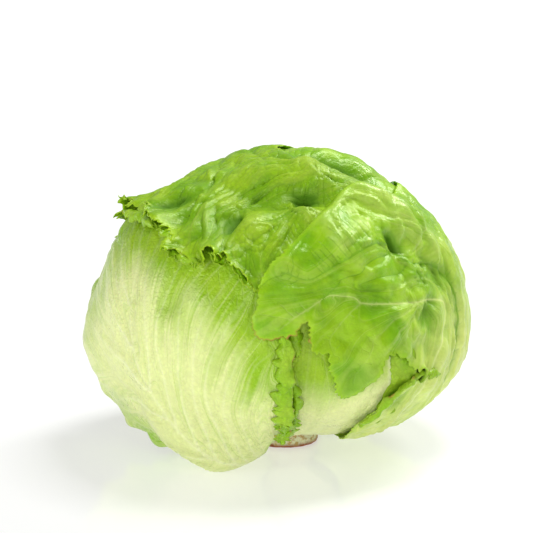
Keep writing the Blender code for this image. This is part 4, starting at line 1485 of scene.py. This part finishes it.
class Heart:
    """The dense inside of the head: its own leaves in relief, and a hole for the stem."""

    COLUMNS = 180
    ROWS = 90
    LEAF_RISE = 1.6  # how steeply each of its leaves rises from the one before
    LEAF_END = 0.86  # of its turn, where it falls to the next
    TOP_DIP = 0.5 * MM
    SOCKET_MIDDLE = 0.93  # of its rim's distance from the head's centre

    def __init__(self, head: Head) -> None:
        """Says which head this is the heart of."""
        self.head = head

    def build(self) -> Piece:
        """The heart's mesh."""
        azimuths = np.linspace(0, 360, self.COLUMNS, endpoint=False)
        foot = rays_to(azimuths, BASE_ELEVATION)
        foot_radius = heart_radius(foot)[:, None]
        rings = [foot * (SOCKET_TOP + (foot_radius - SOCKET_TOP) * s) for s in (0, 0.5, 1)]
        for elevation in np.linspace(BASE_ELEVATION, 90, self.ROWS + 1)[1:-1]:
            rays = rays_to(azimuths, elevation)
            climb = HEART_LEAF_TWIST * math.radians(elevation)
            turn = (HEART_LEAVES_ROUND * np.radians(azimuths) + climb) / (2 * math.pi) % 1
            fall = smooth((turn - self.LEAF_END) / (1 - self.LEAF_END))
            relief = HEART_RELIEF * smooth(self.LEAF_RISE * turn) * (1 - fall)
            relief *= math.cos(math.radians(elevation)) ** 2
            relief += np.minimum(self.head.relief(rays), 0)
            rings.append(rays * (heart_radius(rays) + relief)[:, None])
        top = rays_to(0, 90) * (heart_radius(rays_to(0, 90)) - self.TOP_DIP)
        bottom = np.array((0, 0, -SOCKET_TOP * self.SOCKET_MIDDLE))
        points, faces = ringed_solid(rings, bottom, top)
        points[:, 2] += CENTRE_HEIGHT
        return Piece("heart_fine", points, faces, {})


def ringed_solid(rings: list[Array], bottom: Array, top: Array) -> tuple[Array, list]:
    """A closed solid from rings of one count and its two end points.

    Args:
        rings: the rings' points, from the bottom up.
        bottom: the point that closes the first ring.
        top: the point that closes the last.

    Returns:
        The points and the triangles.
    """
    count = len(rings[0])
    points = np.concatenate([*rings, [bottom], [top]])
    low, high = len(points) - 2, len(points) - 1
    last = (len(rings) - 1) * count
    faces = []
    for i in range(count):
        j = (i + 1) % count
        faces += [(low, j, i), (high, last + i, last + j)]
        for start in range(0, last, count):
            a, b, c, d = start + i, start + j, start + count + j, start + count + i
            faces += [(a, b, c), (a, c, d)]
    return points, faces


@dataclass
class Stem:
    """The cut stem: a rough flat face, a bruised rim and a fibrous side."""

    sides: int = 160
    rows: int = 26
    rim_bevel: float = 1.6 * MM
    uneven: float = 0.02  # of its radius
    roughness: float = 0.45 * MM
    rough_height: float = 12 * MM  # its side is smooth above
    side_start: float = 2.2 * MM
    face_rings: int = 12
    face_middle: float = 2 * MM  # the radius of the innermost ring
    rim_rings: int = 6
    top_bevel: tuple[float, float] = (3 * MM, 2.5 * MM)  # down and in
    lobes: tuple[int, int] = (3, 40)  # how many, and their phase in degrees
    coarseness: float = 6.0  # how many times its roughness changes over a radius
    drift: float = 0.4  # how far that shifts over a millimetre of height

    def ring(self, height: float, inset: float, share: float) -> Array:
        """One ring of the stem, at a height, drawn in by inset, with a share of its unevenness."""
        azimuths = np.linspace(0, 360, self.sides, endpoint=False)
        slope = math.tan(math.radians(STEM_HALF_ANGLE))
        count, phase = self.lobes
        waves = self.uneven * (1 + np.sin(np.radians(count * azimuths + phase)))
        radius = ((CENTRE_HEIGHT - height) * slope - inset) * (1 - waves * share)
        turn = np.radians(azimuths)
        x, y = self.coarseness * np.cos(turn), self.coarseness * np.sin(turn)
        rough = noise_at(x + self.drift * height / MM, y, height / MM)
        radius = radius - self.roughness * share * (0.5 + rough)
        return rays_to(azimuths, 0) * radius[:, None] + [0, 0, height]

    def build(self) -> Piece:
        """The stem's mesh."""
        full = CENTRE_HEIGHT * math.tan(math.radians(STEM_HALF_ANGLE))
        insets = np.linspace(full - self.face_middle, self.rim_bevel, self.face_rings)
        rings = [self.ring(0, inset, 1) for inset in insets]
        for turn in np.linspace(0, math.pi / 2, self.rim_rings)[1:]:
            inset = self.rim_bevel * (1 - math.sin(turn))
            rings.append(self.ring(self.rim_bevel * (1 - math.cos(turn)), inset, 1))
        for height in np.linspace(self.side_start, self.rough_height, self.rows):
            rings.append(self.ring(height, 0, 1 - smooth(height / self.rough_height)))
        down, inwards = self.top_bevel
        rings.append(self.ring(STEM_TOP_HEIGHT - down, 0, 0))
        rings.append(self.ring(STEM_TOP_HEIGHT, inwards, 0))
        top = np.array((0, 0, STEM_TOP_HEIGHT + MM))
        points, faces = ringed_solid(rings, np.zeros(3), top)
        return Piece("stem_fine", points, faces, {})


class Value:
    """A number inside a finish's shader. Python's operators on it add Math nodes."""

    def __init__(self, graph: "Graph", socket: bpy.types.NodeSocket) -> None:
        """Wraps a socket."""
        self.graph = graph
        self.socket = socket

    def math(self, operation: str, *numbers: "Value | float") -> "Value":
        """One Math node on these numbers."""
        return self.graph.add("ShaderNodeMath", {"operation": operation}, dict(enumerate(numbers)))

    def __add__(self, other: "Value | float") -> "Value":
        """self + other."""
        return self.math("ADD", self, other)

    def __sub__(self, other: "Value | float") -> "Value":
        """self - other."""
        return self.math("SUBTRACT", self, other)

    def __rsub__(self, other: "Value | float") -> "Value":
        """other - self."""
        return self.math("SUBTRACT", other, self)

    def __mul__(self, other: "Value | float") -> "Value":
        """self * other."""
        return self.math("MULTIPLY", self, other)

    def __truediv__(self, other: "Value | float") -> "Value":
        """self / other."""
        return self.math("DIVIDE", self, other)

    def step(self, start: float, end: float) -> "Value":
        """From 0 where this is start to 1 where it is end, smoothly.

        Args:
            start: where it begins to rise.
            end: where it reaches 1. It may be the lower one.

        Returns:
            The share.
        """
        low, high = (start, end) if start < end else (end, start)
        share = self.graph.add(
            "ShaderNodeMapRange", {"interpolation_type": "SMOOTHSTEP"},
            {"Value": self, "From Min": low, "From Max": high},
        )
        return share if start < end else 1 - share

    def line(self, slope: float, start: float) -> "Value":
        """start, and slope times this."""
        return self * slope + start

    def clamped(self) -> "Value":
        """This, kept from 0 to 1."""
        return self.graph.add("ShaderNodeClamp", {}, {"Value": self})


class Graph:
    """A material's nodes, added one by one."""

    def __init__(self, name: str) -> None:
        """Starts a material with a Principled shader."""
        self.material = bpy.data.materials.new(name)
        self.material.use_nodes = True
        self.tree = self.material.node_tree
        self.shader = self.tree.nodes["Principled BSDF"]

    def add(self, kind: str, settings: dict, inputs: dict, output: int | str = 0) -> Value:
        """Adds a node.

        Args:
            kind: the node's type.
            settings: its own settings, set first.
            inputs: values or links for its sockets, by name or number.
            output: which of its outputs is wanted.

        Returns:
            That output.
        """
        node = self.tree.nodes.new(kind)
        for key, value in settings.items():
            setattr(node, key, value)
        for key, value in inputs.items():
            if isinstance(value, Value):
                self.tree.links.new(value.socket, node.inputs[key])
            else:
                node.inputs[key].default_value = value
        return Value(self, node.outputs[output])

    def attribute(self, name: str, output: str = "Fac") -> Value:
        """What a piece stores at its points under a name."""
        return self.add("ShaderNodeAttribute", {"attribute_name": name}, {}, output)

    def mix(self, share: Value | float, first: Value | Colour, second: Value | Colour) -> Value:
        """A colour between two."""
        ends = [(*c, 1) if isinstance(c, tuple) else c for c in (first, second)]
        inputs = {0: share, 6: ends[0], 7: ends[1]}
        return self.add("ShaderNodeMix", {"data_type": "RGBA"}, inputs, 2)

    def dim(self, colour: Value, level: Value) -> Value:
        """A colour made lighter or darker."""
        inputs = {0: colour, "Scale": level}
        return self.add("ShaderNodeVectorMath", {"operation": "SCALE"}, inputs)

    def place(self) -> Value:
        """Where a point lies on the piece, in metres."""
        return self.add("ShaderNodeTexCoord", {}, {}, "Object")

    def warped(self, vector: Value, scale: float, sway: Triple, by: Value) -> Value:
        """A vector moved about by noise.

        Args:
            vector: what is moved.
            scale: how many times the noise changes over a metre.
            sway: how far it moves each of the vector's numbers.
            by: the places that the noise is read at.

        Returns:
            The moved vector.
        """
        noise_colour = self.add("ShaderNodeTexNoise", {}, {"Vector": by, "Scale": scale}, "Color")
        inputs = {0: noise_colour, 1: sway, 2: vector}
        return self.add("ShaderNodeVectorMath", {"operation": "MULTIPLY_ADD"}, inputs)

    def scaled(self, vector: Value, scale: Triple) -> Value:
        """A vector with each of its numbers multiplied."""
        return self.add("ShaderNodeVectorMath", {"operation": "MULTIPLY"}, {0: vector, 1: scale})

    def noise(self, vector: Value, scale: float, detail: float = 2, rough: float = 0.5) -> Value:
        """Noise from 0 to 1."""
        inputs = {"Vector": vector, "Scale": scale, "Detail": detail, "Roughness": rough}
        return self.add("ShaderNodeTexNoise", {}, inputs)

    def cell_walls(self, vector: Value, scale: float) -> Value:
        """The distance to the nearest wall of an uneven net of cells."""
        settings = {"feature": "DISTANCE_TO_EDGE"}
        return self.add("ShaderNodeTexVoronoi", settings, {"Vector": vector, "Scale": scale})

    def bump(self, height: Value, depth: float) -> Value:
        """A normal that follows a height of 0 to 1, which is so many metres deep."""
        inputs = {"Height": height, "Distance": depth, "Strength": 1.0}
        return self.add("ShaderNodeBump", {}, inputs)

    def finish(self, constants: dict[str, object], links: dict[str, Value]) -> bpy.types.Material:
        """Sets the shader's constants and links, and gives the material back."""
        for key, value in constants.items():
            self.shader.inputs[key].default_value = value
        for key, value in links.items():
            self.tree.links.new(value.socket, self.shader.inputs[key])
        return self.material


@dataclass(frozen=True)
class LeafFinish:
    """The living surface of a leaf: waxy, veined, pale at the foot and green towards its edge, with
    shade painted into its creases and dips and highlight painted on its ridges.
    """

    green: Colour
    deep: Colour
    pale: Colour
    light: Colour  # of the veins that are lighter than the leaf, and the painted highlight on its ridges
    # the colour by the cut edge: its own tone, with painted light through the crown's thin margin
    # and painted shade on the folded strips' edges
    rim: Colour
    streaks: float = 0.3
    ladder: float = 0.0  # how strongly fine ripples run across the fan
    net: float = 0.15
    roughness: float = 0.30
    subsurface: float = 0.08
    gloss: float = 0.42
    gloss_tint: Colour = (0.92, 1.0, 0.55)
    vein_strength: float = 1.0
    tone_shift: float = 0.0
    hollow: Colour = (0.12, 0.30, 0.002)  # painted shade in the creases and dips, and the colour of the darker veins
    pit_shade: Colour = (0.06, 0.19, 0.0)  # painted shade where it sinks deep
    puffed: float = 0.4  # how far the cells between the finest veins stand out
    grain: float = 0.12
    # how strongly shade is painted into the dips and highlight onto the ridges
    painted_relief_shading: float = 0.6
    lines: float = 0.0  # how strongly fine creases run along the fan, in its bump and as painted shade
    relief: float = 0.28 * MM  # of the finest bumps
    brown: Colour = (0.36, 0.19, 0.04)
    scatter: Colour = (0.6, 1.0, 0.15)
    scatter_depth: float = 1.5 * MM

    # How many times each pattern changes over a metre
    BLOTCH_SCALE = 55
    BEND_SCALE = 90
    SPOT_SCALE = 160
    SMALL_SCALE = 300
    CELL_SCALE = 420
    SMALL_CELL_SCALE = 900
    GRAIN_SCALE = 1000
    # How many times each changes over a millimetre of the fan, across it and along it
    BROAD = (0.16, 0.010, 1)
    NARROW = (0.50, 0.014, 1)
    FINE = (1.5, 0.04, 1)
    RUNGS = (0.35, 0.55, 1)
    CREASES = ((0.26, 0.010, 1), (0.40, 0.016, 3))
    # How far noise moves the fine creases over the fan, and the walls of the cells
    LINE_SWAY = (9.0, 9.0, 0.0)
    CELL_SWAY = (1.4 * MM, 1.4 * MM, 1.4 * MM)
    # Where each pattern starts to show, and where it shows in full
    STREAK_STEP = (0.34, 0.66)
    BLOTCH_STEP = (0.36, 0.64)
    SPOT_STEP = (0.62, 0.70)
    CREASE_STEP = (0.030, 0.0)
    CELL_STEP = (0.0, 0.34)
    SMALL_CELL_STEP = (0.0, 0.30)
    # The same in millimetres of relief, of depth inside the edge, and in a vein's half widths
    # Where shade starts to be painted into dips and deep pits, and highlight onto ridges
    HOLLOW_SHADE_STEP = (0.1, -1.5)
    PIT_STEP = (-1.5, -3.8)
    RIDGE_HIGHLIGHT_STEP = (0.4, 2.6)
    RIM_STEP = (2.4, 0.0)
    SPOT_EDGE = (0.9, 0.1)
    BROWN_EDGE = (1.1, 0.2)
    VEIN_STEP = (1.0, 0.3)
    HALO_STEP = (1.0, 0.0)
    # And in a vein's tone
    LIGHT_TONE = (0.0, 0.8)
    DARK_TONE = (0.25, -0.2)
    # What a vein's size brings, and what is there without it
    VEIN_WIDTH = (0.7, 0.22)
    HALO_WIDTH = (2.4, 0.6)
    LIGHT_SHARE = (0.9, 0.25)
    DARK_SHARE = (0.7, 0.3)
    # How much of each colour shows at most
    PIT_SHADE_SHARE = 0.85
    RIDGE_HIGHLIGHT_SHARE = 0.3
    RIM_SHARE = 0.6
    CREASE_SHADE_SHARE = 0.6
    LINE_SHARE = 0.6
    HALO_SHARE = 0.4
    DARK_MOST = 0.8
    SPOT_SHARE = 0.6
    BROWN_SHARE = 0.8
    SECOND_CREASES = 0.6  # of the first ones
    # How far the streaks swing the paleness, and small noise the brightness from its least
    STREAK_SWING = 2.0
    FINE_SWING = 1.2
    MOTTLE = (0.24, 0.88)
    # How high each pattern stands, and how much rougher it makes the surface
    VEIN_HEIGHT = 0.3
    SMALL_PUFFS = 0.4  # of the larger ones
    FINE_HEIGHT = 0.3
    SMALL_HEIGHT = 0.4
    STREAK_HEIGHT = 0.9
    BLOTCH_ROUGH = 0.16
    SMALL_ROUGH = 0.12
    PIT_ROUGH = 0.4
    FINE_GRAINED = 0.6  # how strong the finest part of a noise is

    def material(self, name: str) -> bpy.types.Material:
        """The finish as a material."""
        graph = Graph(name)
        fan = graph.attribute("fan", "Vector")
        vein, size, tone = (graph.attribute(key) for key in ("vein", "size", "tone"))
        pale, edge, browned = (graph.attribute(key) for key in ("pale", "edge", "brown"))
        fold = graph.attribute("fold")
        tone = tone + self.tone_shift
        place = graph.place()

        blotches = graph.noise(place, self.BLOTCH_SCALE, 3)
        small = graph.noise(place, self.SMALL_SCALE, 3)
        grain = graph.noise(place, self.GRAIN_SCALE, 2, self.FINE_GRAINED)
        broad = graph.noise(graph.scaled(fan, self.BROAD), 1.0).step(*self.STREAK_STEP)
        narrow = graph.noise(graph.scaled(fan, self.NARROW), 1.0, 2, self.FINE_GRAINED)
        narrow = narrow.step(*self.STREAK_STEP)
        streak = broad * 0.5 + narrow * 0.5
        fine_streak = graph.noise(graph.scaled(fan, self.FINE), 1.0)
        warped = graph.warped(place, self.SMALL_SCALE, self.CELL_SWAY, place)
        puffs = graph.cell_walls(warped, self.CELL_SCALE).step(*self.CELL_STEP)
        small_puffs = graph.cell_walls(warped, self.SMALL_CELL_SCALE)
        small_puffs = small_puffs.step(*self.SMALL_CELL_STEP)
        rungs = graph.noise(graph.scaled(fan, self.RUNGS), 1.0)

        paleness = pale + (streak - 0.5) * (self.STREAK_SWING * self.streaks)
        paleness = paleness + (fine_streak - 0.5) * (self.FINE_SWING * self.streaks)
        tissue = graph.mix(blotches.step(*self.BLOTCH_STEP), self.deep, self.green)
        colour = graph.mix(paleness.clamped(), tissue, self.pale)
        colour = graph.dim(colour, (1 - puffs) * -self.net + 1.0)
        bent = graph.warped(fan, self.BEND_SCALE, self.LINE_SWAY, place)
        wave, second = (
            (graph.noise(graph.scaled(bent, scale), 1.0) - 0.5).math("ABSOLUTE")
            for scale in self.CREASES
        )
        wave, second = wave.step(*self.CREASE_STEP), second.step(*self.CREASE_STEP)
        crease = wave + second * self.SECOND_CREASES
        # Shade painted along the fine creases
        crease_shade = (crease * (self.lines * self.CREASE_SHADE_SHARE)).clamped()
        colour = graph.mix(crease_shade, colour, self.hollow)
        # Shade painted into the relief's dips, darker still in its deep pits
        colour = graph.mix(fold.step(*self.HOLLOW_SHADE_STEP) * self.painted_relief_shading, colour, self.hollow)
        sunk = fold.step(*self.PIT_STEP)
        colour = graph.mix(sunk * self.PIT_SHADE_SHARE, colour, self.pit_shade)
        # Highlight painted on the ridges of the relief
        ridge = fold.step(*self.RIDGE_HIGHLIGHT_STEP) * self.painted_relief_shading * self.RIDGE_HIGHLIGHT_SHARE
        colour = graph.mix(ridge, colour, self.light)
        line = (vein / size.line(*self.VEIN_WIDTH)).step(*self.VEIN_STEP)
        halo = (vein / size.line(*self.HALO_WIDTH)).step(*self.HALO_STEP)
        lighter = line * self.LINE_SHARE + halo * self.HALO_SHARE
        lighter = lighter * size.line(*self.LIGHT_SHARE)
        lighter = lighter * tone.step(*self.LIGHT_TONE) * self.vein_strength
        darker = line * tone.step(*self.DARK_TONE) * size.line(*self.DARK_SHARE)
        colour = graph.mix(lighter.clamped(), colour, self.light)
        colour = graph.mix(darker.clamped() * self.DARK_MOST, colour, self.hollow)
        # Near the cut edge the colour goes to the rim colour: the edge's own tone, painted light let
        # through the crown's thin margin, and painted shade on the folded strips' edges
        colour = graph.mix(edge.step(*self.RIM_STEP) * self.RIM_SHARE, colour, self.rim)
        spots = graph.noise(place, self.SPOT_SCALE, 3).step(*self.SPOT_STEP)
        spots = spots * edge.step(*self.SPOT_EDGE) * self.SPOT_SHARE
        spots = spots + browned * edge.step(*self.BROWN_EDGE) * self.BROWN_SHARE
        colour = graph.mix(spots.clamped(), colour, self.brown)
        colour = graph.dim(colour, small.line(*self.MOTTLE))

        height = line * (size * self.VEIN_HEIGHT) - line * self.VEIN_HEIGHT + puffs * self.puffed
        height = height + small_puffs * (self.SMALL_PUFFS * self.puffed)
        height = height + fine_streak * self.FINE_HEIGHT + small * self.SMALL_HEIGHT
        height = height + rungs * self.ladder + grain * self.grain
        height = height + streak * (self.STREAK_HEIGHT * self.streaks) - crease * self.lines
        normal = graph.bump(height, self.relief)
        least_rough = self.roughness - (self.BLOTCH_ROUGH + self.SMALL_ROUGH) / 2
        roughness = blotches * self.BLOTCH_ROUGH + small * self.SMALL_ROUGH
        roughness = roughness + sunk * self.PIT_ROUGH + least_rough
        constants = {
            "Subsurface Weight": self.subsurface,
            "Subsurface Radius": self.scatter,
            "Subsurface Scale": self.scatter_depth,
            "Specular IOR Level": self.gloss,
            "Specular Tint": (*self.gloss_tint, 1.0),
        }
        links = {"Base Color": colour, "Roughness": roughness, "Normal": normal}
        return graph.finish(constants, links)


@dataclass(frozen=True)
class StemFinish:
    """The cut stem: pale pith, tan bark and a bruised red-brown rim."""

    pith: Colour = (0.86, 0.82, 0.60)
    tan: Colour = (0.56, 0.37, 0.14)
    bruise: Colour = (0.30, 0.08, 0.02)
    PATCH_SCALE = 330
    FIBRE_SCALE = 900
    FIBRE_STRETCH = (1, 1, 0.12)
    PATCH_STEP = (0.46, 0.60)
    BRUISE_STEP = (4.6, 2.4)  # millimetres up the stem
    BRUISE_SWAY = 4  # millimetres
    SHADES = (0.4, 0.8)  # what fibres add, and the least
    ROUGHNESS = (0.2, 0.6)
    RELIEF = 0.6 * MM

    def material(self, name: str) -> bpy.types.Material:
        """The finish as a material."""
        graph = Graph(name)
        place = graph.place()
        height = graph.add("ShaderNodeSeparateXYZ", {}, {0: place}, "Z") / MM
        patches = graph.noise(place, self.PATCH_SCALE, 4, 0.65)
        fibres = graph.noise(graph.scaled(place, self.FIBRE_STRETCH), self.FIBRE_SCALE, 3)
        colour = graph.mix(patches.step(*self.PATCH_STEP), self.pith, self.tan)
        low = (height + patches * self.BRUISE_SWAY).step(*self.BRUISE_STEP)
        colour = graph.mix(low, colour, self.bruise)
        colour = graph.dim(colour, fibres.line(*self.SHADES))
        normal = graph.bump(patches * 0.6 + fibres * 0.4, self.RELIEF)
        roughness = patches.line(*self.ROUGHNESS)
        links = {"Base Color": colour, "Normal": normal, "Roughness": roughness}
        constants = {"Subsurface Weight": 0.1, "Subsurface Scale": 1.5 * MM}
        return graph.finish(constants, links)


@dataclass(frozen=True)
class HeartFinish:
    """The pale, crisp inner leaves of the heart."""

    light: Colour = (0.62, 0.70, 0.26)
    green: Colour = (0.40, 0.56, 0.10)
    PATCH_SCALE = 50
    VEIN_SCALE = 160
    VEIN_STRETCH = (1, 1, 0.4)
    PATCH_STEP = (0.35, 0.65)
    VEIN_STEP = (0.12, 0.02)
    VEIN_SHARE = 0.4
    ROUGHNESS = (0.2, 0.3)  # what patches add, and the least
    RELIEF = 0.5 * MM

    def material(self, name: str) -> bpy.types.Material:
        """The finish as a material."""
        graph = Graph(name)
        place = graph.place()
        patches = graph.noise(place, self.PATCH_SCALE, 4)
        veins = graph.cell_walls(graph.scaled(place, self.VEIN_STRETCH), self.VEIN_SCALE)
        veins = veins.step(*self.VEIN_STEP)
        colour = graph.mix(patches.step(*self.PATCH_STEP), self.green, self.light)
        colour = graph.mix(veins * self.VEIN_SHARE, colour, self.light)
        normal = graph.bump(veins * 0.5 + patches * 0.5, self.RELIEF)
        roughness = patches.line(*self.ROUGHNESS)
        constants = {"Subsurface Weight": 0.2, "Subsurface Scale": 2 * MM}
        links = {"Base Color": colour, "Normal": normal, "Roughness": roughness}
        return graph.finish(constants, links)


LEAF_FINISHES = {
    Hue.CROWN: LeafFinish(
        green=(0.31, 0.53, 0.011), deep=(0.19, 0.42, 0.003), pale=(0.48, 0.64, 0.07),
        light=(0.54, 0.70, 0.12), rim=(0.42, 0.64, 0.015), streaks=0.32, tone_shift=-0.2,
        painted_relief_shading=0.55, lines=1.2, roughness=0.35, gloss=0.42, relief=0.40 * MM, puffed=0.10,
        hollow=(0.13, 0.31, 0.002), grain=0.36,
    ),
    Hue.WRAPPER: LeafFinish(
        green=(0.30, 0.55, 0.006), deep=(0.18, 0.43, 0.002), pale=(0.68, 0.79, 0.20),
        light=(0.74, 0.84, 0.28), rim=(0.34, 0.60, 0.010), streaks=0.20, net=0.05,
        painted_relief_shading=0.6, lines=0.45, roughness=0.32, gloss=0.42, relief=0.36 * MM, puffed=0.08,
        vein_strength=1.2, hollow=(0.12, 0.32, 0.001), grain=0.36,
    ),
    Hue.PALE: LeafFinish(
        green=(0.35, 0.57, 0.018), deep=(0.28, 0.52, 0.010), pale=(0.78, 0.85, 0.36),
        light=(0.88, 0.92, 0.56), rim=(0.38, 0.62, 0.015), streaks=0.36, ladder=0.3, net=0.06,
        vein_strength=1.8, hollow=(0.34, 0.54, 0.05), painted_relief_shading=0.4, lines=0.3,
    ),
    Hue.FRONT: LeafFinish(
        green=(0.38, 0.60, 0.02), deep=(0.31, 0.55, 0.012), pale=(0.80, 0.86, 0.38),
        light=(0.80, 0.87, 0.42), rim=(0.86, 0.91, 0.52), streaks=0.12, net=0.05,
        hollow=(0.30, 0.50, 0.03), painted_relief_shading=0.2,
    ),
    Hue.INNER: LeafFinish(
        green=(0.36, 0.58, 0.02), deep=(0.27, 0.51, 0.01), pale=(0.52, 0.70, 0.10),
        light=(0.52, 0.70, 0.12), rim=(0.30, 0.56, 0.01), streaks=0.12,
    ),
    Hue.FRILL: LeafFinish(
        green=(0.38, 0.61, 0.03), deep=(0.26, 0.52, 0.006), pale=(0.52, 0.70, 0.10),
        light=(0.55, 0.74, 0.10), rim=(0.22, 0.48, 0.003), streaks=0.10, painted_relief_shading=0.8,
    ),
}


@dataclass(frozen=True)
class Softbox:
    """A square, even light outside the picture."""

    name: str
    place: tuple[float, float, float]
    size: float
    power: float
    aim: tuple[float, float, float] = (0.0, 0.0, 0.08)

    def build(self) -> None:
        """Hangs the light."""
        light = bpy.data.lights.new(self.name, "AREA")
        light.size = self.size
        light.energy = self.power
        lamp = bpy.data.objects.new(self.name, light)
        lamp.location = self.place
        way = Vector(self.aim) - Vector(self.place)
        lamp.rotation_euler = way.to_track_quat("-Z", "Y").to_euler()
        lamp.visible_camera = False
        bpy.context.scene.collection.objects.link(lamp)


@dataclass(frozen=True)
class Studio:
    """A white table in a white room, with softboxes, and the camera."""

    target: tuple[float, float, float] = (-8.2 * MM, 0.0, 84.2 * MM)
    camera_elevation: float = 13.0
    camera_distance: float = 1.0
    metres_per_pixel: float = 0.47 * MM  # at the target
    picture_width: int = 533
    sensor: float = 36.0  # millimetres
    table_size: float = 12.0
    table_gap: float = 0.05 * MM
    table_glow: float = 0.50
    far_from: float = 0.15  # from the head, where the table's glow begins to grow
    far_to: float = 1.4
    far_glow: float = 1.7  # of the glow under the head, from there on
    table_greys: tuple[float, float] = (0.52, 0.54)
    table_roughness: tuple[float, float] = (0.11, 0.02)  # the least, and what clouds add
    room_light: float = 0.30
    room_reflected: float = 0.32
    room_seen: float = 1.1
    furthest_seen: float = 100.0
    softboxes: tuple[Softbox, ...] = (
        Softbox("softbox_top", (0.30, 0.20, 1.15), 0.35, 8.5),
        Softbox("softbox_left", (-1.00, -0.80, 0.35), 0.4, 5.5),
        Softbox("softbox_front", (0.20, -1.20, 0.40), 0.9, 3.8),
        Softbox("softbox_back_right", (0.75, 0.60, 0.85), 0.4, 8.0),
    )

    def build(self) -> None:
        """Sets the whole studio up."""
        self.build_camera()
        self.build_room()
        self.build_table()
        for softbox in self.softboxes:
            softbox.build()
        bpy.context.scene.view_settings.view_transform = "Standard"

    def build_camera(self) -> None:
        """Places the camera at the picture's angle."""
        data = bpy.data.cameras.new("camera")
        data.sensor_width = self.sensor
        width_at_target = self.metres_per_pixel * self.picture_width
        data.lens = self.sensor * self.camera_distance / width_at_target
        data.clip_end = self.furthest_seen
        camera = bpy.data.objects.new("camera", data)
        tilt = math.radians(self.camera_elevation)
        back = Vector((0, -math.cos(tilt), math.sin(tilt))) * self.camera_distance
        camera.location = Vector(self.target) + back
        camera.rotation_euler = (math.pi / 2 - tilt, 0, 0)
        bpy.context.scene.collection.objects.link(camera)
        bpy.context.scene.camera = camera

    def build_room(self) -> None:
        """A white room that lights gently and looks pure white."""
        world = bpy.data.worlds.new("room")
        world.use_nodes = True
        tree = world.node_tree
        background = tree.nodes["Background"]
        background.inputs["Color"].default_value = (1, 1, 1, 1)
        path = tree.nodes.new("ShaderNodeLightPath")
        reflected = tree.nodes.new("ShaderNodeMapRange")
        reflected.inputs["To Min"].default_value = self.room_light
        reflected.inputs["To Max"].default_value = self.room_reflected
        tree.links.new(path.outputs["Is Glossy Ray"], reflected.inputs["Value"])
        level = tree.nodes.new("ShaderNodeMapRange")
        level.inputs["To Max"].default_value = self.room_seen
        tree.links.new(reflected.outputs[0], level.inputs["To Min"])
        tree.links.new(path.outputs["Is Camera Ray"], level.inputs["Value"])
        tree.links.new(level.outputs[0], background.inputs["Strength"])
        bpy.context.scene.world = world

    def build_table(self) -> None:
        """A glossy white table top."""
        half = self.table_size / 2
        mesh = bpy.data.meshes.new("table_top")
        corners = [(-half, -half, 0), (half, -half, 0), (half, half, 0), (-half, half, 0)]
        mesh.from_pydata(corners, [], [(0, 1, 2, 3)])
        table = bpy.data.objects.new("table_top", mesh)
        table.location.z = -self.table_gap
        bpy.context.scene.collection.objects.link(table)
        graph = Graph("white_table")
        place = graph.place()
        cloudy = graph.noise(place, 3, 2)
        colour = graph.mix(cloudy, *((grey,) * 3 for grey in self.table_greys))
        away = graph.add("ShaderNodeVectorMath", {"operation": "LENGTH"}, {0: place}, "Value")
        far = away.step(self.far_from, self.far_to)
        glow = graph.mix(far, (1.0,) * 3, (self.far_glow,) * 3)
        least, clouds = self.table_roughness
        roughness = cloudy.line(clouds, least)
        links = {"Base Color": colour, "Roughness": roughness, "Emission Color": glow}
        constants = {"Specular IOR Level": 0.5, "Emission Strength": self.table_glow}
        mesh.materials.append(graph.finish(constants, links))


def write_sizes() -> None:
    """Brings the view layer up to date."""
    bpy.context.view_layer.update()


def main() -> None:
    """Builds the head, dresses it and sets up the studio."""
    logging.basicConfig(level=logging.INFO, format="%(message)s")
    Studio().build()
    head = Head(LEAVES)
    Heart(head).build().dress(HeartFinish().material("heart_finish"), "heart", "heart")
    Stem().build().dress(StemFinish().material("stem_finish"), "stem", "stem")
    finishes = {hue: look.material(f"{hue.value}_finish") for hue, look in LEAF_FINISHES.items()}
    for index, plan in enumerate(LEAVES):
        Leaf(head, index).build().dress(finishes[plan.hue], plan.name, plan.name)
    for ribbon in RIBBONS:
        FoldedStrip(head, ribbon).build().dress(finishes[Hue.FRILL], ribbon.on, None)
    write_sizes()


if __name__ == "__main__":
    main()
